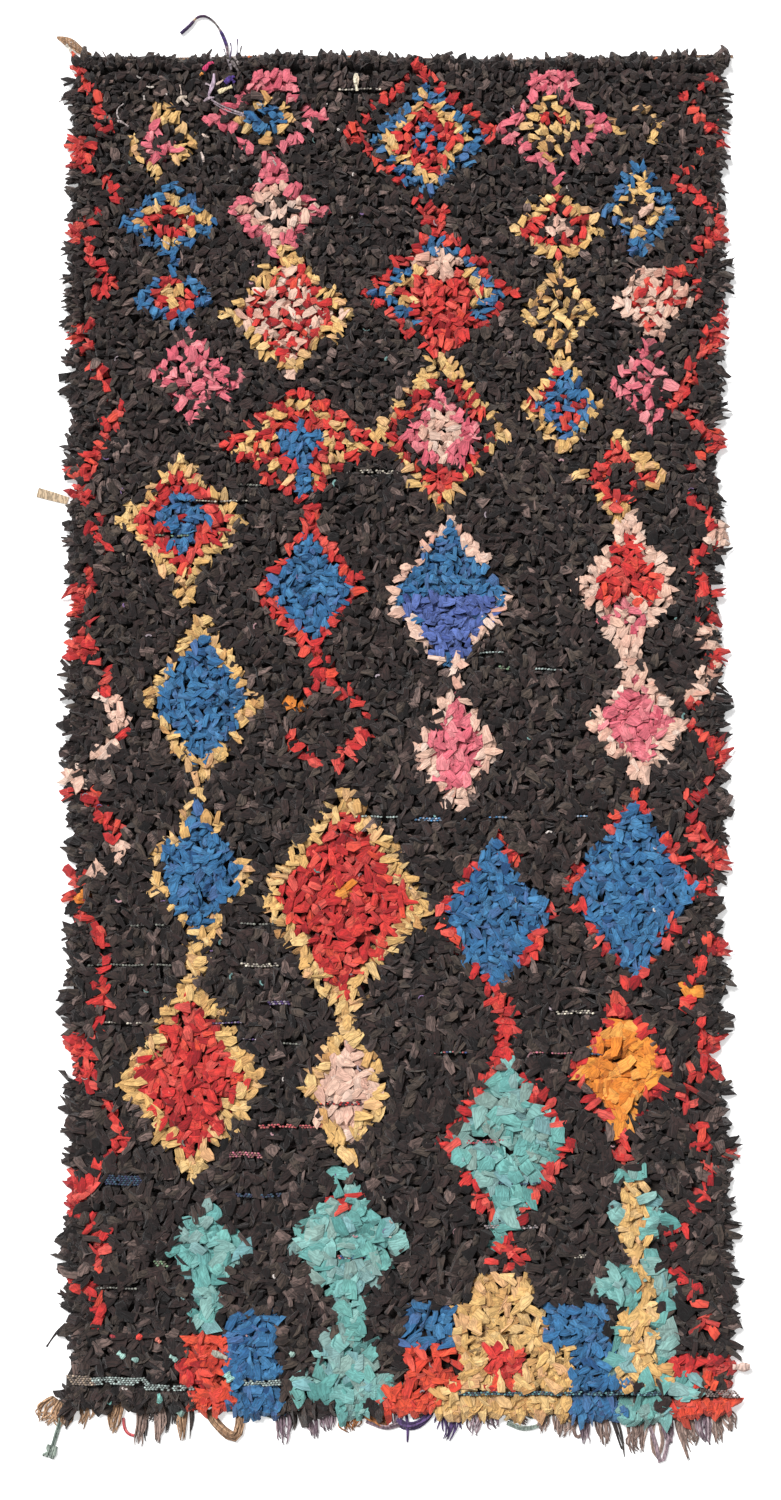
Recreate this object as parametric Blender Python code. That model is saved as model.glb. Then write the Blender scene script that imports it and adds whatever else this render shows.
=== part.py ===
"""Boucherouite rug: rag strips knotted into a woven ground, lying flat with the pile up.

Metres, +Z up, +Y towards the finished heading. The origin is the centre of the knotted field's underside,
so the floor is the plane z = 0.
"""

import math
import random
from collections import namedtuple

import bmesh
import bpy
import numpy as np
from mathutils import Vector, noise

SEED = 11
UP = Vector((0.0, 0.0, 1.0))
GAP = 0.0003

# Knotted field: its nominal size, then the cells of the lumpy slab, each about one tuft of rags.
FIELD_WIDTH = 1.400
FIELD_LENGTH = 2.845
CELLS_ACROSS = 36
CELLS_ALONG = 72

# Heights above the floor. The ground weave is the slab's plain foot, and the locks start on top of it.
GROUND_HEIGHT = 0.0045
RIM_HEIGHT = 0.016
SHOULDER_HEIGHT = 0.024
PILE_HEIGHT = 0.0265
SWELL_RISE = 0.003
SWELL_PITCH = 0.34
TUFT_RISE = 0.0075
TUFT_SHIFT = 0.008
RIM_RISE = 0.0025

# Locks: rags of the outermost knots that reach past the field.
SIDE_LOCK_SHARE = 0.82
SIDE_LOCK_REACH = (0.009, 0.025)
TOP_LOCK_SHARE = 0.70
TOP_LOCK_REACH = (0.007, 0.015)
BOTTOM_LOCK_SHARE = 0.60
BOTTOM_LOCK_REACH = (0.008, 0.018)
LOCK_LEAN = 0.009
LOCK_MIDDLE_WIDTH = 0.62
LOCK_TIP_WIDTH = 0.30
LOCK_MIDDLE_HEIGHT = 0.0095
LOCK_TIP_HEIGHT = 0.0042

# Heading: the twined edge along the top, and its loose end at the left corner.
HEADING_WIDTH = 0.005
HEADING_HEIGHT = 0.003

# Fringe: a narrow strip of ground weave and the warp ends gathered into tassels.
FRINGE_DEPTH = 0.010
FRINGE_HEIGHT = 0.004
FRINGE_LEFT = -0.730
FRINGE_RIGHT = 0.692
STRAND_WIDTH = 0.007
STRAND_GATHER = 0.80
STRAND_MIDDLE_WIDTH = 0.72
STRAND_TIP_WIDTH = 0.42
STRAND_TIP_HEIGHT = 0.0026
STRAND_STAGGER = 0.10

# Wrapped tie: a limp cord that starts against the top edge and ends loose on the floor.
TIE_DIAMETER = 0.008
TIE_STEP = 0.018
TIE_ACROSS = -0.360
TIE_ROOT_GAP = 0.0013

# Edge tape: the ribbed end that comes out of the left selvedge.
TAPE_ROOT_ALONG = 0.4925
TAPE_ROOT_WIDTH = 0.0165
TAPE_HEIGHT = 0.002

# Where the rim has no locks: beside the tape, beside the tie, and left of this at the heading's loose end.
TAPE_CLEARANCE = 0.030
TIE_CLEARANCE = 0.026
CORNER_CLEARANCE = -0.600

# How far each selvedge stands outside the nominal half width, from the bottom of the field to the top.
EdgeStation = namedtuple("EdgeStation", "along left right")
EDGE_STATIONS = (
    EdgeStation(-1.4225, 0.026, -0.008),
    EdgeStation(-1.3900, 0.030, 0.012),
    EdgeStation(-1.3350, -0.006, 0.018),
    EdgeStation(-1.2720, 0.009, 0.015),
    EdgeStation(-1.1670, 0.009, 0.030),
    EdgeStation(-1.0830, 0.022, 0.015),
    EdgeStation(-0.9350, 0.009, 0.014),
    EdgeStation(-0.8100, 0.009, 0.009),
    EdgeStation(-0.6830, 0.001, -0.020),
    EdgeStation(-0.5150, 0.013, 0.009),
    EdgeStation(-0.3480, 0.003, -0.021),
    EdgeStation(-0.2420, 0.000, 0.000),
    EdgeStation(-0.0960, 0.013, 0.002),
    EdgeStation(0.1980, 0.000, -0.012),
    EdgeStation(0.3240, 0.005, -0.022),
    EdgeStation(0.4080, 0.003, 0.000),
    EdgeStation(0.5550, 0.002, -0.022),
    EdgeStation(0.7020, 0.004, -0.010),
    EdgeStation(0.9120, 0.009, 0.002),
    EdgeStation(1.1220, 0.000, -0.010),
    EdgeStation(1.3320, 0.002, 0.000),
    EdgeStation(1.4225, 0.000, -0.008),
)

# How far the top edge stands above, and the bottom edge above, their nominal lines.
EndStation = namedtuple("EndStation", "across top bottom")
END_STATIONS = (
    EndStation(-0.730, -0.001, 0.021),
    EndStation(-0.520, -0.003, 0.017),
    EndStation(-0.380, -0.009, 0.012),
    EndStation(-0.310, 0.001, 0.009),
    EndStation(-0.150, 0.000, 0.006),
    EndStation(0.000, -0.003, 0.009),
    EndStation(0.120, -0.010, 0.010),
    EndStation(0.300, -0.008, 0.004),
    EndStation(0.460, -0.006, -0.006),
    EndStation(0.600, 0.001, -0.006),
    EndStation(0.730, 0.003, -0.002),
)

# Tassels from left to right: where each leaves the strip, where its tip lies, how far the tip is past the
# nominal bottom line, and its strands.
Tassel = namedtuple("Tassel", "root tip reach strands")
TASSELS = (
    Tassel(-0.717, -0.749, 0.025, 3),
    Tassel(-0.702, -0.732, 0.092, 1),
    Tassel(-0.688, -0.700, 0.042, 3),
    Tassel(-0.660, -0.669, 0.048, 1),
    Tassel(-0.644, -0.644, 0.021, 2),
    Tassel(-0.589, -0.602, 0.048, 3),
    Tassel(-0.574, -0.560, 0.052, 1),
    Tassel(-0.541, -0.549, 0.069, 3),
    Tassel(-0.522, -0.520, 0.021, 2),
    Tassel(-0.503, -0.507, 0.063, 3),
    Tassel(-0.488, -0.490, 0.042, 1),
    Tassel(-0.465, -0.469, 0.027, 1),
    Tassel(-0.450, -0.456, 0.059, 2),
    Tassel(-0.439, -0.439, 0.057, 1),
    Tassel(-0.398, -0.364, 0.061, 2),
    Tassel(-0.335, -0.345, 0.059, 1),
    Tassel(-0.249, -0.243, 0.067, 3),
    Tassel(-0.226, -0.226, 0.040, 1),
    Tassel(-0.194, -0.177, 0.055, 3),
    Tassel(-0.163, -0.148, 0.040, 3),
    Tassel(-0.110, -0.102, 0.040, 3),
    Tassel(-0.070, -0.026, 0.034, 2),
    Tassel(-0.009, -0.007, 0.032, 2),
    Tassel(0.012, 0.016, 0.084, 1),
    Tassel(0.060, 0.038, 0.027, 1),
    Tassel(0.104, 0.100, 0.059, 4),
    Tassel(0.156, 0.154, 0.048, 3),
    Tassel(0.192, 0.201, 0.034, 3),
    Tassel(0.226, 0.266, 0.025, 2),
    Tassel(0.295, 0.299, 0.044, 2),
    Tassel(0.343, 0.341, 0.052, 5),
    Tassel(0.379, 0.390, 0.067, 2),
    Tassel(0.417, 0.430, 0.071, 3),
    Tassel(0.444, 0.469, 0.092, 1),
    Tassel(0.501, 0.499, 0.086, 5),
    Tassel(0.532, 0.546, 0.109, 3),
    Tassel(0.562, 0.568, 0.071, 2),
    Tassel(0.582, 0.608, 0.101, 1),
    Tassel(0.604, 0.618, 0.069, 2),
    Tassel(0.637, 0.643, 0.069, 3),
    Tassel(0.663, 0.671, 0.065, 3),
    Tassel(0.681, 0.694, 0.038, 2),
)

# The heading's loose end, from the corner outwards: centre line, width, thickness and turn in degrees.
CornerStation = namedtuple("CornerStation", "across along width thickness turn")
CORNER_END = (
    CornerStation(-0.655, 1.4275, 0.008, 0.0050, 20.0),
    CornerStation(-0.668, 1.4345, 0.015, 0.0050, 30.0),
    CornerStation(-0.683, 1.4450, 0.020, 0.0045, 22.0),
    CornerStation(-0.700, 1.4550, 0.015, 0.0040, 14.0),
    CornerStation(-0.719, 1.4640, 0.004, 0.0025, 5.0),
)

# The tie's route, from the top edge to its loose end.
RoutePoint = namedtuple("RoutePoint", "across along rise")
TIE_ROUTE = (
    RoutePoint(-0.364, 1.4480, 0.0046),
    RoutePoint(-0.375, 1.4750, 0.0041),
    RoutePoint(-0.390, 1.4960, 0.0041),
    RoutePoint(-0.408, 1.5070, 0.0041),
    RoutePoint(-0.425, 1.5040, 0.0041),
    RoutePoint(-0.440, 1.4880, 0.0041),
    RoutePoint(-0.459, 1.4710, 0.0041),
)
TIE_ROOT_RISE = 0.0080

# The tape's centre line and width, from the selvedge outwards.
TapeStation = namedtuple("TapeStation", "across along width")
TAPE_STATIONS = (
    TapeStation(-0.7240, 0.4985, 0.0190),
    TapeStation(-0.7420, 0.5035, 0.0195),
    TapeStation(-0.7600, 0.5085, 0.0200),
)

# Node, base colour, roughness.
Finish = namedtuple("Finish", "colour roughness")
FINISHES = {
    "rag_pile": Finish((0.030, 0.026, 0.025), 0.95),
    "top_heading": Finish((0.46, 0.27, 0.20), 0.9),
    "fringe": Finish((0.30, 0.20, 0.17), 0.92),
    "tie_cord": Finish((0.13, 0.07, 0.26), 0.85),
    "edge_tape": Finish((0.48, 0.35, 0.24), 0.88),
}

# A cross-section of a lock, strand or strip: its centre, its width and height axes, and half of each.
Section = namedtuple("Section", "centre across up half_width half_height")


def clear_scene():
    """Remove every object that the file opened with."""
    for old in list(bpy.data.objects):
        bpy.data.objects.remove(old, do_unlink=True)


def make_material(name):
    """A plain cloth material in the node's own colour."""
    finish = FINISHES[name]
    material = bpy.data.materials.new(name)
    material.use_nodes = True
    shader = material.node_tree.nodes["Principled BSDF"]
    shader.inputs["Base Color"].default_value = (*finish.colour, 1.0)
    shader.inputs["Roughness"].default_value = finish.roughness
    shader.inputs["Metallic"].default_value = 0.0
    return material


def add_object(name, data, collection, parent):
    """Link mesh or curve data into the rug's collection under its own node name."""
    data.materials.append(make_material(name))
    piece = bpy.data.objects.new(name, data)
    piece.parent = parent
    collection.objects.link(piece)
    return piece


def mesh_from(bm, name):
    """Turn the bmesh into mesh data with its faces pointing out."""
    bmesh.ops.recalc_face_normals(bm, faces=bm.faces)
    mesh = bpy.data.meshes.new(name)
    bm.to_mesh(mesh)
    bm.free()
    return mesh


def column(rows, name):
    """One named column of a table, as a list."""
    return [getattr(row, name) for row in rows]


def side_edge(along, side):
    """The field's left or right edge at a place along the rug."""
    offset = np.interp(along, column(EDGE_STATIONS, "along"), column(EDGE_STATIONS, side))
    half = FIELD_WIDTH / 2 + float(offset)
    return half if side == "right" else -half


def end_offset(across, end):
    """How far the top or bottom edge stands above its nominal line at a place across the rug."""
    return float(np.interp(across, column(END_STATIONS, "across"), column(END_STATIONS, end)))


def field_point(share_across, share_along):
    """A place on the field's outline or inside it, from shares of 0 to 1 across and along."""
    along = (share_along - 0.5) * FIELD_LENGTH
    left = side_edge(along, "left")
    across = left + share_across * (side_edge(along, "right") - left)
    along += share_along * end_offset(across, "top") + (1 - share_along) * end_offset(across, "bottom")
    return across, along


def rim_line(end):
    """The slab's own corners along its top or bottom edge, from left to right."""
    share_along = 1.0 if end == "top" else 0.0
    return [field_point(i / CELLS_ACROSS, share_along) for i in range(CELLS_ACROSS + 1)]


def rim_along(across, end):
    """Where the slab's straight-sided rim lies at a place across the rug."""
    line = rim_line(end)
    return float(np.interp(across, [p[0] for p in line], [p[1] for p in line]))


def placed_grid(bm, columns, rows, place):
    """A grid of columns by rows cells whose vertex (i, j) stands at place(i, j)."""
    bmesh.ops.create_grid(bm, x_segments=columns, y_segments=rows, size=1.0)
    for vert in bm.verts:
        i = round((vert.co.x + 1) / 2 * columns)
        j = round((vert.co.y + 1) / 2 * rows)
        vert.co = place(i, j)


def close_below(bm, levels):
    """Extrude the open rim down through the levels and cap it, and return the first band of faces."""
    first_band = []
    for level in levels:
        rim = [edge for edge in bm.edges if edge.is_boundary]
        made = bmesh.ops.extrude_edge_only(bm, edges=rim)["geom"]
        for vert in (item for item in made if isinstance(item, bmesh.types.BMVert)):
            vert.co.z = level
        if not first_band:
            first_band = [item for item in made if isinstance(item, bmesh.types.BMFace)]
    rim = [edge for edge in bm.edges if edge.is_boundary]
    bmesh.ops.contextual_create(bm, geom=rim)
    bmesh.ops.recalc_face_normals(bm, faces=bm.faces)
    return first_band


def corner_signs(vert, section):
    """Which corner of its section a vertex is, as a pair of plus and minus one."""
    offset = vert.co - section.centre
    wide = 1 if offset.dot(section.across) > 0 else -1
    high = 1 if offset.dot(section.up) > 0 else -1
    return wide, high


def grow(bm, face, root, sections):
    """Extrude a four-sided face, whose own section is root, through the sections in turn."""
    for section in sections:
        face = bmesh.ops.extrude_discrete_faces(bm, faces=[face])["faces"][0]
        for vert in face.verts:
            wide, high = corner_signs(vert, root)
            vert.co = (section.centre + section.across * wide * section.half_width
                       + section.up * high * section.half_height)
        root = section


def resting_section(across, along, direction, width, height, foot=0.0, turn=0.0):
    """A section that looks along the direction, is turned about it and rests at the height of its foot."""
    level = direction.cross(UP).normalized()
    wide = level * math.cos(math.radians(turn)) + UP * math.sin(math.radians(turn))
    high = wide.cross(direction).normalized()
    rise = foot + abs(wide.z) * width / 2 + abs(high.z) * height / 2
    return Section(Vector((across, along, rise)), wide, high, width / 2, height / 2)


def face_section(face, outward):
    """The section of an upright four-sided face that looks outward."""
    across = outward.cross(UP).normalized()
    centre = face.calc_center_median()
    half_width = max((vert.co - centre).dot(across) for vert in face.verts)
    half_height = max((vert.co - centre).z for vert in face.verts)
    return Section(centre, across, UP, half_width, half_height)


def pile_height(i, j, rng):
    """Height of the slab's top at a grid corner: low at the rim, lumpy inside."""
    steps_in = min(i, j, CELLS_ACROSS - i, CELLS_ALONG - j)
    if steps_in == 0:
        return RIM_HEIGHT + RIM_RISE * rng.uniform(-1.0, 1.0)
    base = SHOULDER_HEIGHT if steps_in == 1 else PILE_HEIGHT
    across, along = field_point(i / CELLS_ACROSS, j / CELLS_ALONG)
    swell = noise.noise(Vector((across, along, 0.0)) / SWELL_PITCH)
    return base + SWELL_RISE * swell + TUFT_RISE * rng.uniform(-1.0, 1.0)


def add_lock(bm, face, reach, foot, rng):
    """One rim lock: it leaves the rim, tapers and lies down to the height of its foot."""
    outward = Vector((face.normal.x, face.normal.y, 0.0)).normalized()
    root = face_section(face, outward)
    travel = outward * reach + root.across * rng.uniform(-LOCK_LEAN, LOCK_LEAN)

    def section(share, width, height):
        place = root.centre + travel * share
        return resting_section(place.x, place.y, outward, 2 * root.half_width * width, height, foot)

    grow(bm, face, root, (section(0.55, LOCK_MIDDLE_WIDTH, LOCK_MIDDLE_HEIGHT),
                          section(1.0, LOCK_TIP_WIDTH, LOCK_TIP_HEIGHT)))


def lock_plan(centre, normal):
    """Share, reach and foot height of the locks on the rim face at this place, or None for a bare face."""
    if abs(normal.x) > abs(normal.y):
        near_tape = normal.x < 0 and abs(centre.y - TAPE_ROOT_ALONG) < TAPE_CLEARANCE
        return None if near_tape else (SIDE_LOCK_SHARE, SIDE_LOCK_REACH, 0.0)
    if normal.y < 0:
        return BOTTOM_LOCK_SHARE, BOTTOM_LOCK_REACH, GROUND_HEIGHT
    near_tie = abs(centre.x - TIE_ACROSS) < TIE_CLEARANCE
    near_corner = centre.x < CORNER_CLEARANCE
    return None if near_tie or near_corner else (TOP_LOCK_SHARE, TOP_LOCK_REACH, GROUND_HEIGHT)


def build_rag_pile(collection, parent):
    """The knotted field: a lumpy slab on its flat underside, with locks round its rim."""
    rng = random.Random(SEED)
    bm = bmesh.new()

    def place(i, j):
        across, along = field_point(i / CELLS_ACROSS, j / CELLS_ALONG)
        height = pile_height(i, j, rng)
        if 0 < i < CELLS_ACROSS and 0 < j < CELLS_ALONG:
            across += rng.uniform(-TUFT_SHIFT, TUFT_SHIFT)
            along += rng.uniform(-TUFT_SHIFT, TUFT_SHIFT)
        return Vector((across, along, height))

    placed_grid(bm, CELLS_ACROSS, CELLS_ALONG, place)
    rim_faces = close_below(bm, (GROUND_HEIGHT, 0.0))
    rim_faces.sort(key=lambda face: tuple(face.calc_center_median()))
    for face in rim_faces:
        plan = lock_plan(face.calc_center_median(), face.normal)
        if plan and rng.random() < plan[0]:
            add_lock(bm, face, rng.uniform(*plan[1]), plan[2], rng)
    return add_object("rag_pile", mesh_from(bm, "rag_pile"), collection, parent)


def build_top_heading(collection, parent):
    """The twined edge along the top and its loose, twisted end at the left corner."""
    bm = bmesh.new()
    line = rim_line("top")

    def place(i, j):
        across, along = line[i]
        return Vector((across, along + GAP + j * HEADING_WIDTH, HEADING_HEIGHT))

    placed_grid(bm, len(line) - 1, 1, place)
    close_below(bm, (0.0,))
    corner = min(bm.faces, key=lambda face: face.calc_center_median().x)
    root = face_section(corner, Vector((-1.0, 0.0, 0.0)))
    sections = []
    before = root.centre
    for station in CORNER_END:
        direction = Vector((station.across - before.x, station.along - before.y, 0.0)).normalized()
        sections.append(resting_section(station.across, station.along, direction, station.width,
                                        station.thickness, turn=station.turn))
        before = sections[-1].centre
    grow(bm, corner, root, sections)
    return add_object("top_heading", mesh_from(bm, "top_heading"), collection, parent)


def strand_roots():
    """Every strand as (tassel, place from the tassel's middle, left and right side of its root)."""
    roots = []
    for tassel in TASSELS:
        for k in range(tassel.strands):
            place = k - (tassel.strands - 1) / 2
            left = tassel.root + (place - 0.5) * STRAND_WIDTH
            roots.append((tassel, place, round(left, 6), round(left + STRAND_WIDTH, 6)))
    return roots


def add_strand(bm, face, tassel, place):
    """One strand of a tassel, level on the floor, from its root to a narrow tip."""
    outward = Vector((0.0, -1.0, 0.0))
    root = face_section(face, outward)
    far = -FIELD_LENGTH / 2 - tassel.reach + abs(place) * STRAND_STAGGER * tassel.reach
    tip_across = tassel.tip + place * STRAND_WIDTH * STRAND_GATHER

    def section(share, width, height):
        across = root.centre.x + share * (tip_across - root.centre.x)
        along = root.centre.y + share * (far - root.centre.y)
        return resting_section(across, along, outward, STRAND_WIDTH * width, height)

    grow(bm, face, root, (section(0.5, STRAND_MIDDLE_WIDTH, FRINGE_HEIGHT),
                          section(1.0, STRAND_TIP_WIDTH, STRAND_TIP_HEIGHT)))


def build_fringe(collection, parent):
    """The strip of ground weave below the field, with the tassels' strands fused to its outer edge."""
    roots = strand_roots()
    corners = {FRINGE_LEFT, FRINGE_RIGHT}
    corners.update(side for root in roots for side in root[2:])
    corners = sorted(corners)
    bends = [p[0] for p in rim_line("bottom") if FRINGE_LEFT < p[0] < FRINGE_RIGHT]
    for bend in bends:
        clear = min(abs(bend - corner) for corner in corners)
        inside = any(left < bend < right for _, _, left, right in roots)
        if clear > GAP and not inside:
            corners.append(bend)
    corners.sort()
    bm = bmesh.new()

    def place(i, j):
        across = corners[i]
        inner = rim_along(across, "bottom") - 2 * GAP
        return Vector((across, inner - (1 - j) * FRINGE_DEPTH, FRINGE_HEIGHT))

    placed_grid(bm, len(corners) - 1, 1, place)
    close_below(bm, (0.0,))
    outer = [face for face in bm.faces if face.normal.y < -0.7]
    for tassel, position, left, right in roots:
        middle = (left + right) / 2
        face = min(outer, key=lambda side: abs(side.calc_center_median().x - middle))
        outer.remove(face)
        add_strand(bm, face, tassel, position)
    return add_object("fringe", mesh_from(bm, "fringe"), collection, parent)


def smooth_route(points, step):
    """Points at even steps along the smooth curve through the route's own points."""
    knots = np.array(points)
    ends = np.vstack((2 * knots[0] - knots[1], knots, 2 * knots[-1] - knots[-2]))
    curve = [knots[0]]
    for before, start, stop, after in zip(ends, ends[1:], ends[2:], ends[3:]):
        for t in np.linspace(0.0, 1.0, 21)[1:]:
            curve.append(0.5 * (2 * start + (stop - before) * t
                                + (2 * before - 5 * start + 4 * stop - after) * t ** 2
                                + (3 * start - before - 3 * stop + after) * t ** 3))
    curve = np.array(curve)
    travelled = np.concatenate(([0.0], np.cumsum(np.linalg.norm(np.diff(curve, axis=0), axis=1))))
    count = max(2, round(travelled[-1] / step) + 1)
    wanted = np.linspace(0.0, travelled[-1], count)
    return np.column_stack([np.interp(wanted, travelled, curve[:, axis]) for axis in range(3)])


def build_tie_cord(collection, parent):
    """The wrapped tie, as a tube along its route over the heading and onto the floor."""
    start = (TIE_ACROSS, rim_along(TIE_ACROSS, "top") + TIE_ROOT_GAP, TIE_ROOT_RISE)
    route = smooth_route([start] + [tuple(point) for point in TIE_ROUTE], TIE_STEP)
    curve = bpy.data.curves.new("tie_cord", "CURVE")
    curve.dimensions = "3D"
    curve.bevel_depth = TIE_DIAMETER / 2
    curve.bevel_resolution = 2
    curve.use_fill_caps = True
    spline = curve.splines.new("POLY")
    spline.points.add(len(route) - 1)
    for point, place in zip(spline.points, route):
        point.co = (*place, 1.0)
    return add_object("tie_cord", curve, collection, parent)


def build_edge_tape(collection, parent):
    """The flat tape end that leaves the left selvedge and lies on the floor."""
    bm = bmesh.new()
    root_across = side_edge(TAPE_ROOT_ALONG, "left") - 2 * GAP
    sections = [resting_section(root_across, TAPE_ROOT_ALONG, Vector((-1.0, 0.0, 0.0)), TAPE_ROOT_WIDTH,
                                TAPE_HEIGHT)]
    for station in TAPE_STATIONS:
        before = sections[-1].centre
        direction = Vector((station.across - before.x, station.along - before.y, 0.0)).normalized()
        sections.append(resting_section(station.across, station.along, direction, station.width, TAPE_HEIGHT))
    bmesh.ops.create_cube(bm, size=1.0)
    for vert in bm.verts:
        section = sections[0] if vert.co.x > 0 else sections[1]
        wide = 1 if vert.co.y > 0 else -1
        high = 1 if vert.co.z > 0 else -1
        vert.co = section.centre + section.across * wide * section.half_width + UP * high * section.half_height
    far_face = min(bm.faces, key=lambda face: face.calc_center_median().x)
    grow(bm, far_face, sections[1], sections[2:])
    return add_object("edge_tape", mesh_from(bm, "edge_tape"), collection, parent)


def main():
    """Build the rug's pieces under one empty at the field's centre."""
    clear_scene()
    collection = bpy.data.collections.new("boucherouite_rug")
    bpy.context.scene.collection.children.link(collection)
    centre = bpy.data.objects.new("field_centre", None)
    collection.objects.link(centre)
    build_rag_pile(collection, centre)
    build_top_heading(collection, centre)
    build_fringe(collection, centre)
    build_tie_cord(collection, centre)
    build_edge_tape(collection, centre)


main()
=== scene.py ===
"""Boucherouite rug, laid flat and seen from straight above.

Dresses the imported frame: rag strips knotted in lozenges on a woven ground, a twined heading, tassels of
warp yarn, a wrapped tie, a tape end, loose rags and bare wefts.  Lengths are metres, and where a docstring
says so centimetres.
"""

import logging
from dataclasses import dataclass
from enum import Enum

import bpy
import numpy as np
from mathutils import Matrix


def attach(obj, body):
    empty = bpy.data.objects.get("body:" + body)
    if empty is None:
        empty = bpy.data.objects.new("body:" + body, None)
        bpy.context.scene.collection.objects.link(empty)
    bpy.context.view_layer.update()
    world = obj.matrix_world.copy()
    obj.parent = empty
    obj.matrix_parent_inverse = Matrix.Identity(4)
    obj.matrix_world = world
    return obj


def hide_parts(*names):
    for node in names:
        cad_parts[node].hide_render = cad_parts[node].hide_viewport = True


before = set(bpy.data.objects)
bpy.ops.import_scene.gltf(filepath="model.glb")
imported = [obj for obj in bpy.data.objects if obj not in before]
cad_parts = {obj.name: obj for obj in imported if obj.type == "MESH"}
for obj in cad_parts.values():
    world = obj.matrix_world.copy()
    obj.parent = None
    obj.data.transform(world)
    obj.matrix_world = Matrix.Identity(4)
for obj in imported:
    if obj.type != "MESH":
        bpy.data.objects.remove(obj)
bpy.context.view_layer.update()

Array = np.ndarray
Rng = np.random.Generator
Span = tuple[float, float]
Tone = tuple[int, int, int]

LOG = logging.getLogger("rug")
SEED = 23
CM = 0.01
KNOT_WIDTH = 0.0175
KNOT_ROW = 0.0215
BAND_STEP = 0.023
YARN_SIDES = 6
FIELD_LENGTH = 2.845
GROUND_TOP = 0.0042
FLOOR_REST = 0.0004
ROUGH_CLOTH = 0.88
COARSE_ALONG = (-0.8, 0.6, 1.4)
COARSE_SHARE = (1.32, 1.0, 0.9)
WEFT_ROW = 0.0042


class Rag(Enum):
    """The colours of rag that the rug is knotted from."""

    BLACK = 0
    RED = 1
    BLUE = 2
    STRAW = 3
    ROSE = 4
    SHELL = 5
    TURQUOISE = 6
    MARIGOLD = 7
    VERMILION = 8
    PERIWINKLE = 9


BLACK, RED, BLUE, STRAW, ROSE, SHELL, TURQUOISE, MARIGOLD, VERMILION, PERIWINKLE = Rag


def linear(colours: Array) -> Array:
    """Turn display values of 0 to 255 into linear light, with an alpha of one.

    Args:
        colours: Red, green and blue as a screen shows them, any shape that ends in three.

    Returns:
        The values that a shader or a colour attribute takes, with four in the last place of the shape.
    """
    share = np.clip(colours, 0.0, 255.0) / 255.0
    light = np.where(share <= 0.04045, share / 12.92, ((share + 0.055) / 1.055) ** 2.4)
    return np.concatenate([light, np.ones((*light.shape[:-1], 1))], axis=-1)


def coarseness(along: Array) -> Array:
    """How large the rags are at places along the rug, as a share of their size near its top."""
    return np.interp(along, COARSE_ALONG, COARSE_SHARE)


@dataclass(frozen=True)
class RagFinish:
    """How one colour of rag is dyed, cut and knotted."""

    slot: str
    tones: tuple[Tone, ...]
    strips: int = 3
    width: Span = (0.01, 0.02)
    reach: Span = (0.024, 0.036)
    roll: float = 0.5
    rise: float = 0.0
    fold: float = 0.22
    point: float = 0.45
    crease: float = 0.45
    deepen: float = 0.0


FINISHES: dict[Rag, RagFinish] = {
    BLACK: RagFinish(
        "rag_charcoal", ((12, 5, 6), (34, 21, 20), (66, 48, 45), (42, 28, 27), (88, 75, 66), (54, 38, 36),
        (28, 17, 18), (134, 111, 104)), width=(0.009, 0.024), reach=(0.023, 0.037), roll=1.0, fold=0.32,
        crease=0.7, deepen=0.4),
    RED: RagFinish(
        "rag_red", ((146, 20, 30), (210, 50, 50), (226, 66, 58), (188, 36, 42), (234, 94, 84),
        (230, 76, 52)), width=(0.01, 0.019), reach=(0.025, 0.037), rise=0.002, roll=0.6, fold=0.24,
        crease=0.38),
    BLUE: RagFinish(
        "rag_blue", ((34, 80, 130), (58, 118, 166), (48, 104, 152), (72, 132, 178), (76, 108, 160)),
        strips=4, width=(0.009, 0.019), reach=(0.022, 0.035), rise=0.002, roll=0.8, fold=0.24, crease=0.38),
    STRAW: RagFinish(
        "rag_straw", ((200, 146, 90), (236, 192, 123), (228, 178, 109), (242, 204, 140), (228, 174, 125)),
        width=(0.011, 0.02), reach=(0.027, 0.04), rise=0.002, roll=0.6, fold=0.22, point=0.6, crease=0.38),
    ROSE: RagFinish(
        "rag_rose", ((202, 80, 99), (236, 124, 137), (226, 105, 121), (242, 152, 156)),
        width=(0.012, 0.023), reach=(0.028, 0.041), rise=0.002, fold=0.2, crease=0.36),
    SHELL: RagFinish(
        "rag_shell", ((216, 160, 140), (238, 200, 180), (236, 190, 167), (240, 212, 196)),
        width=(0.012, 0.022), reach=(0.028, 0.042), rise=0.002, roll=0.45, fold=0.14, point=0.6,
        crease=0.32),
    TURQUOISE: RagFinish(
        "rag_turquoise", ((84, 146, 142), (120, 182, 174), (106, 170, 166), (140, 192, 186),
        (138, 164, 156), (124, 174, 178)), strips=2, width=(0.018, 0.031), reach=(0.03, 0.044),
        rise=0.0026, roll=0.45, fold=0.12, point=0.35, crease=0.32),
    MARIGOLD: RagFinish(
        "rag_marigold", ((220, 116, 34), (242, 156, 62), (236, 136, 48), (246, 172, 84)),
        width=(0.014, 0.026), reach=(0.028, 0.042), rise=0.0022, fold=0.15, crease=0.32),
    VERMILION: RagFinish(
        "rag_red", ((206, 56, 40), (232, 80, 54), (240, 90, 60), (222, 62, 50), (236, 96, 78)),
        width=(0.01, 0.019), reach=(0.025, 0.037), rise=0.002, roll=0.6, fold=0.24, crease=0.38),
    PERIWINKLE: RagFinish(
        "rag_blue", ((64, 82, 146), (92, 112, 178), (80, 100, 164), (102, 124, 190)), strips=4,
        width=(0.01, 0.021), reach=(0.022, 0.035), rise=0.002, roll=0.7, fold=0.22, crease=0.38),
}


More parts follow.
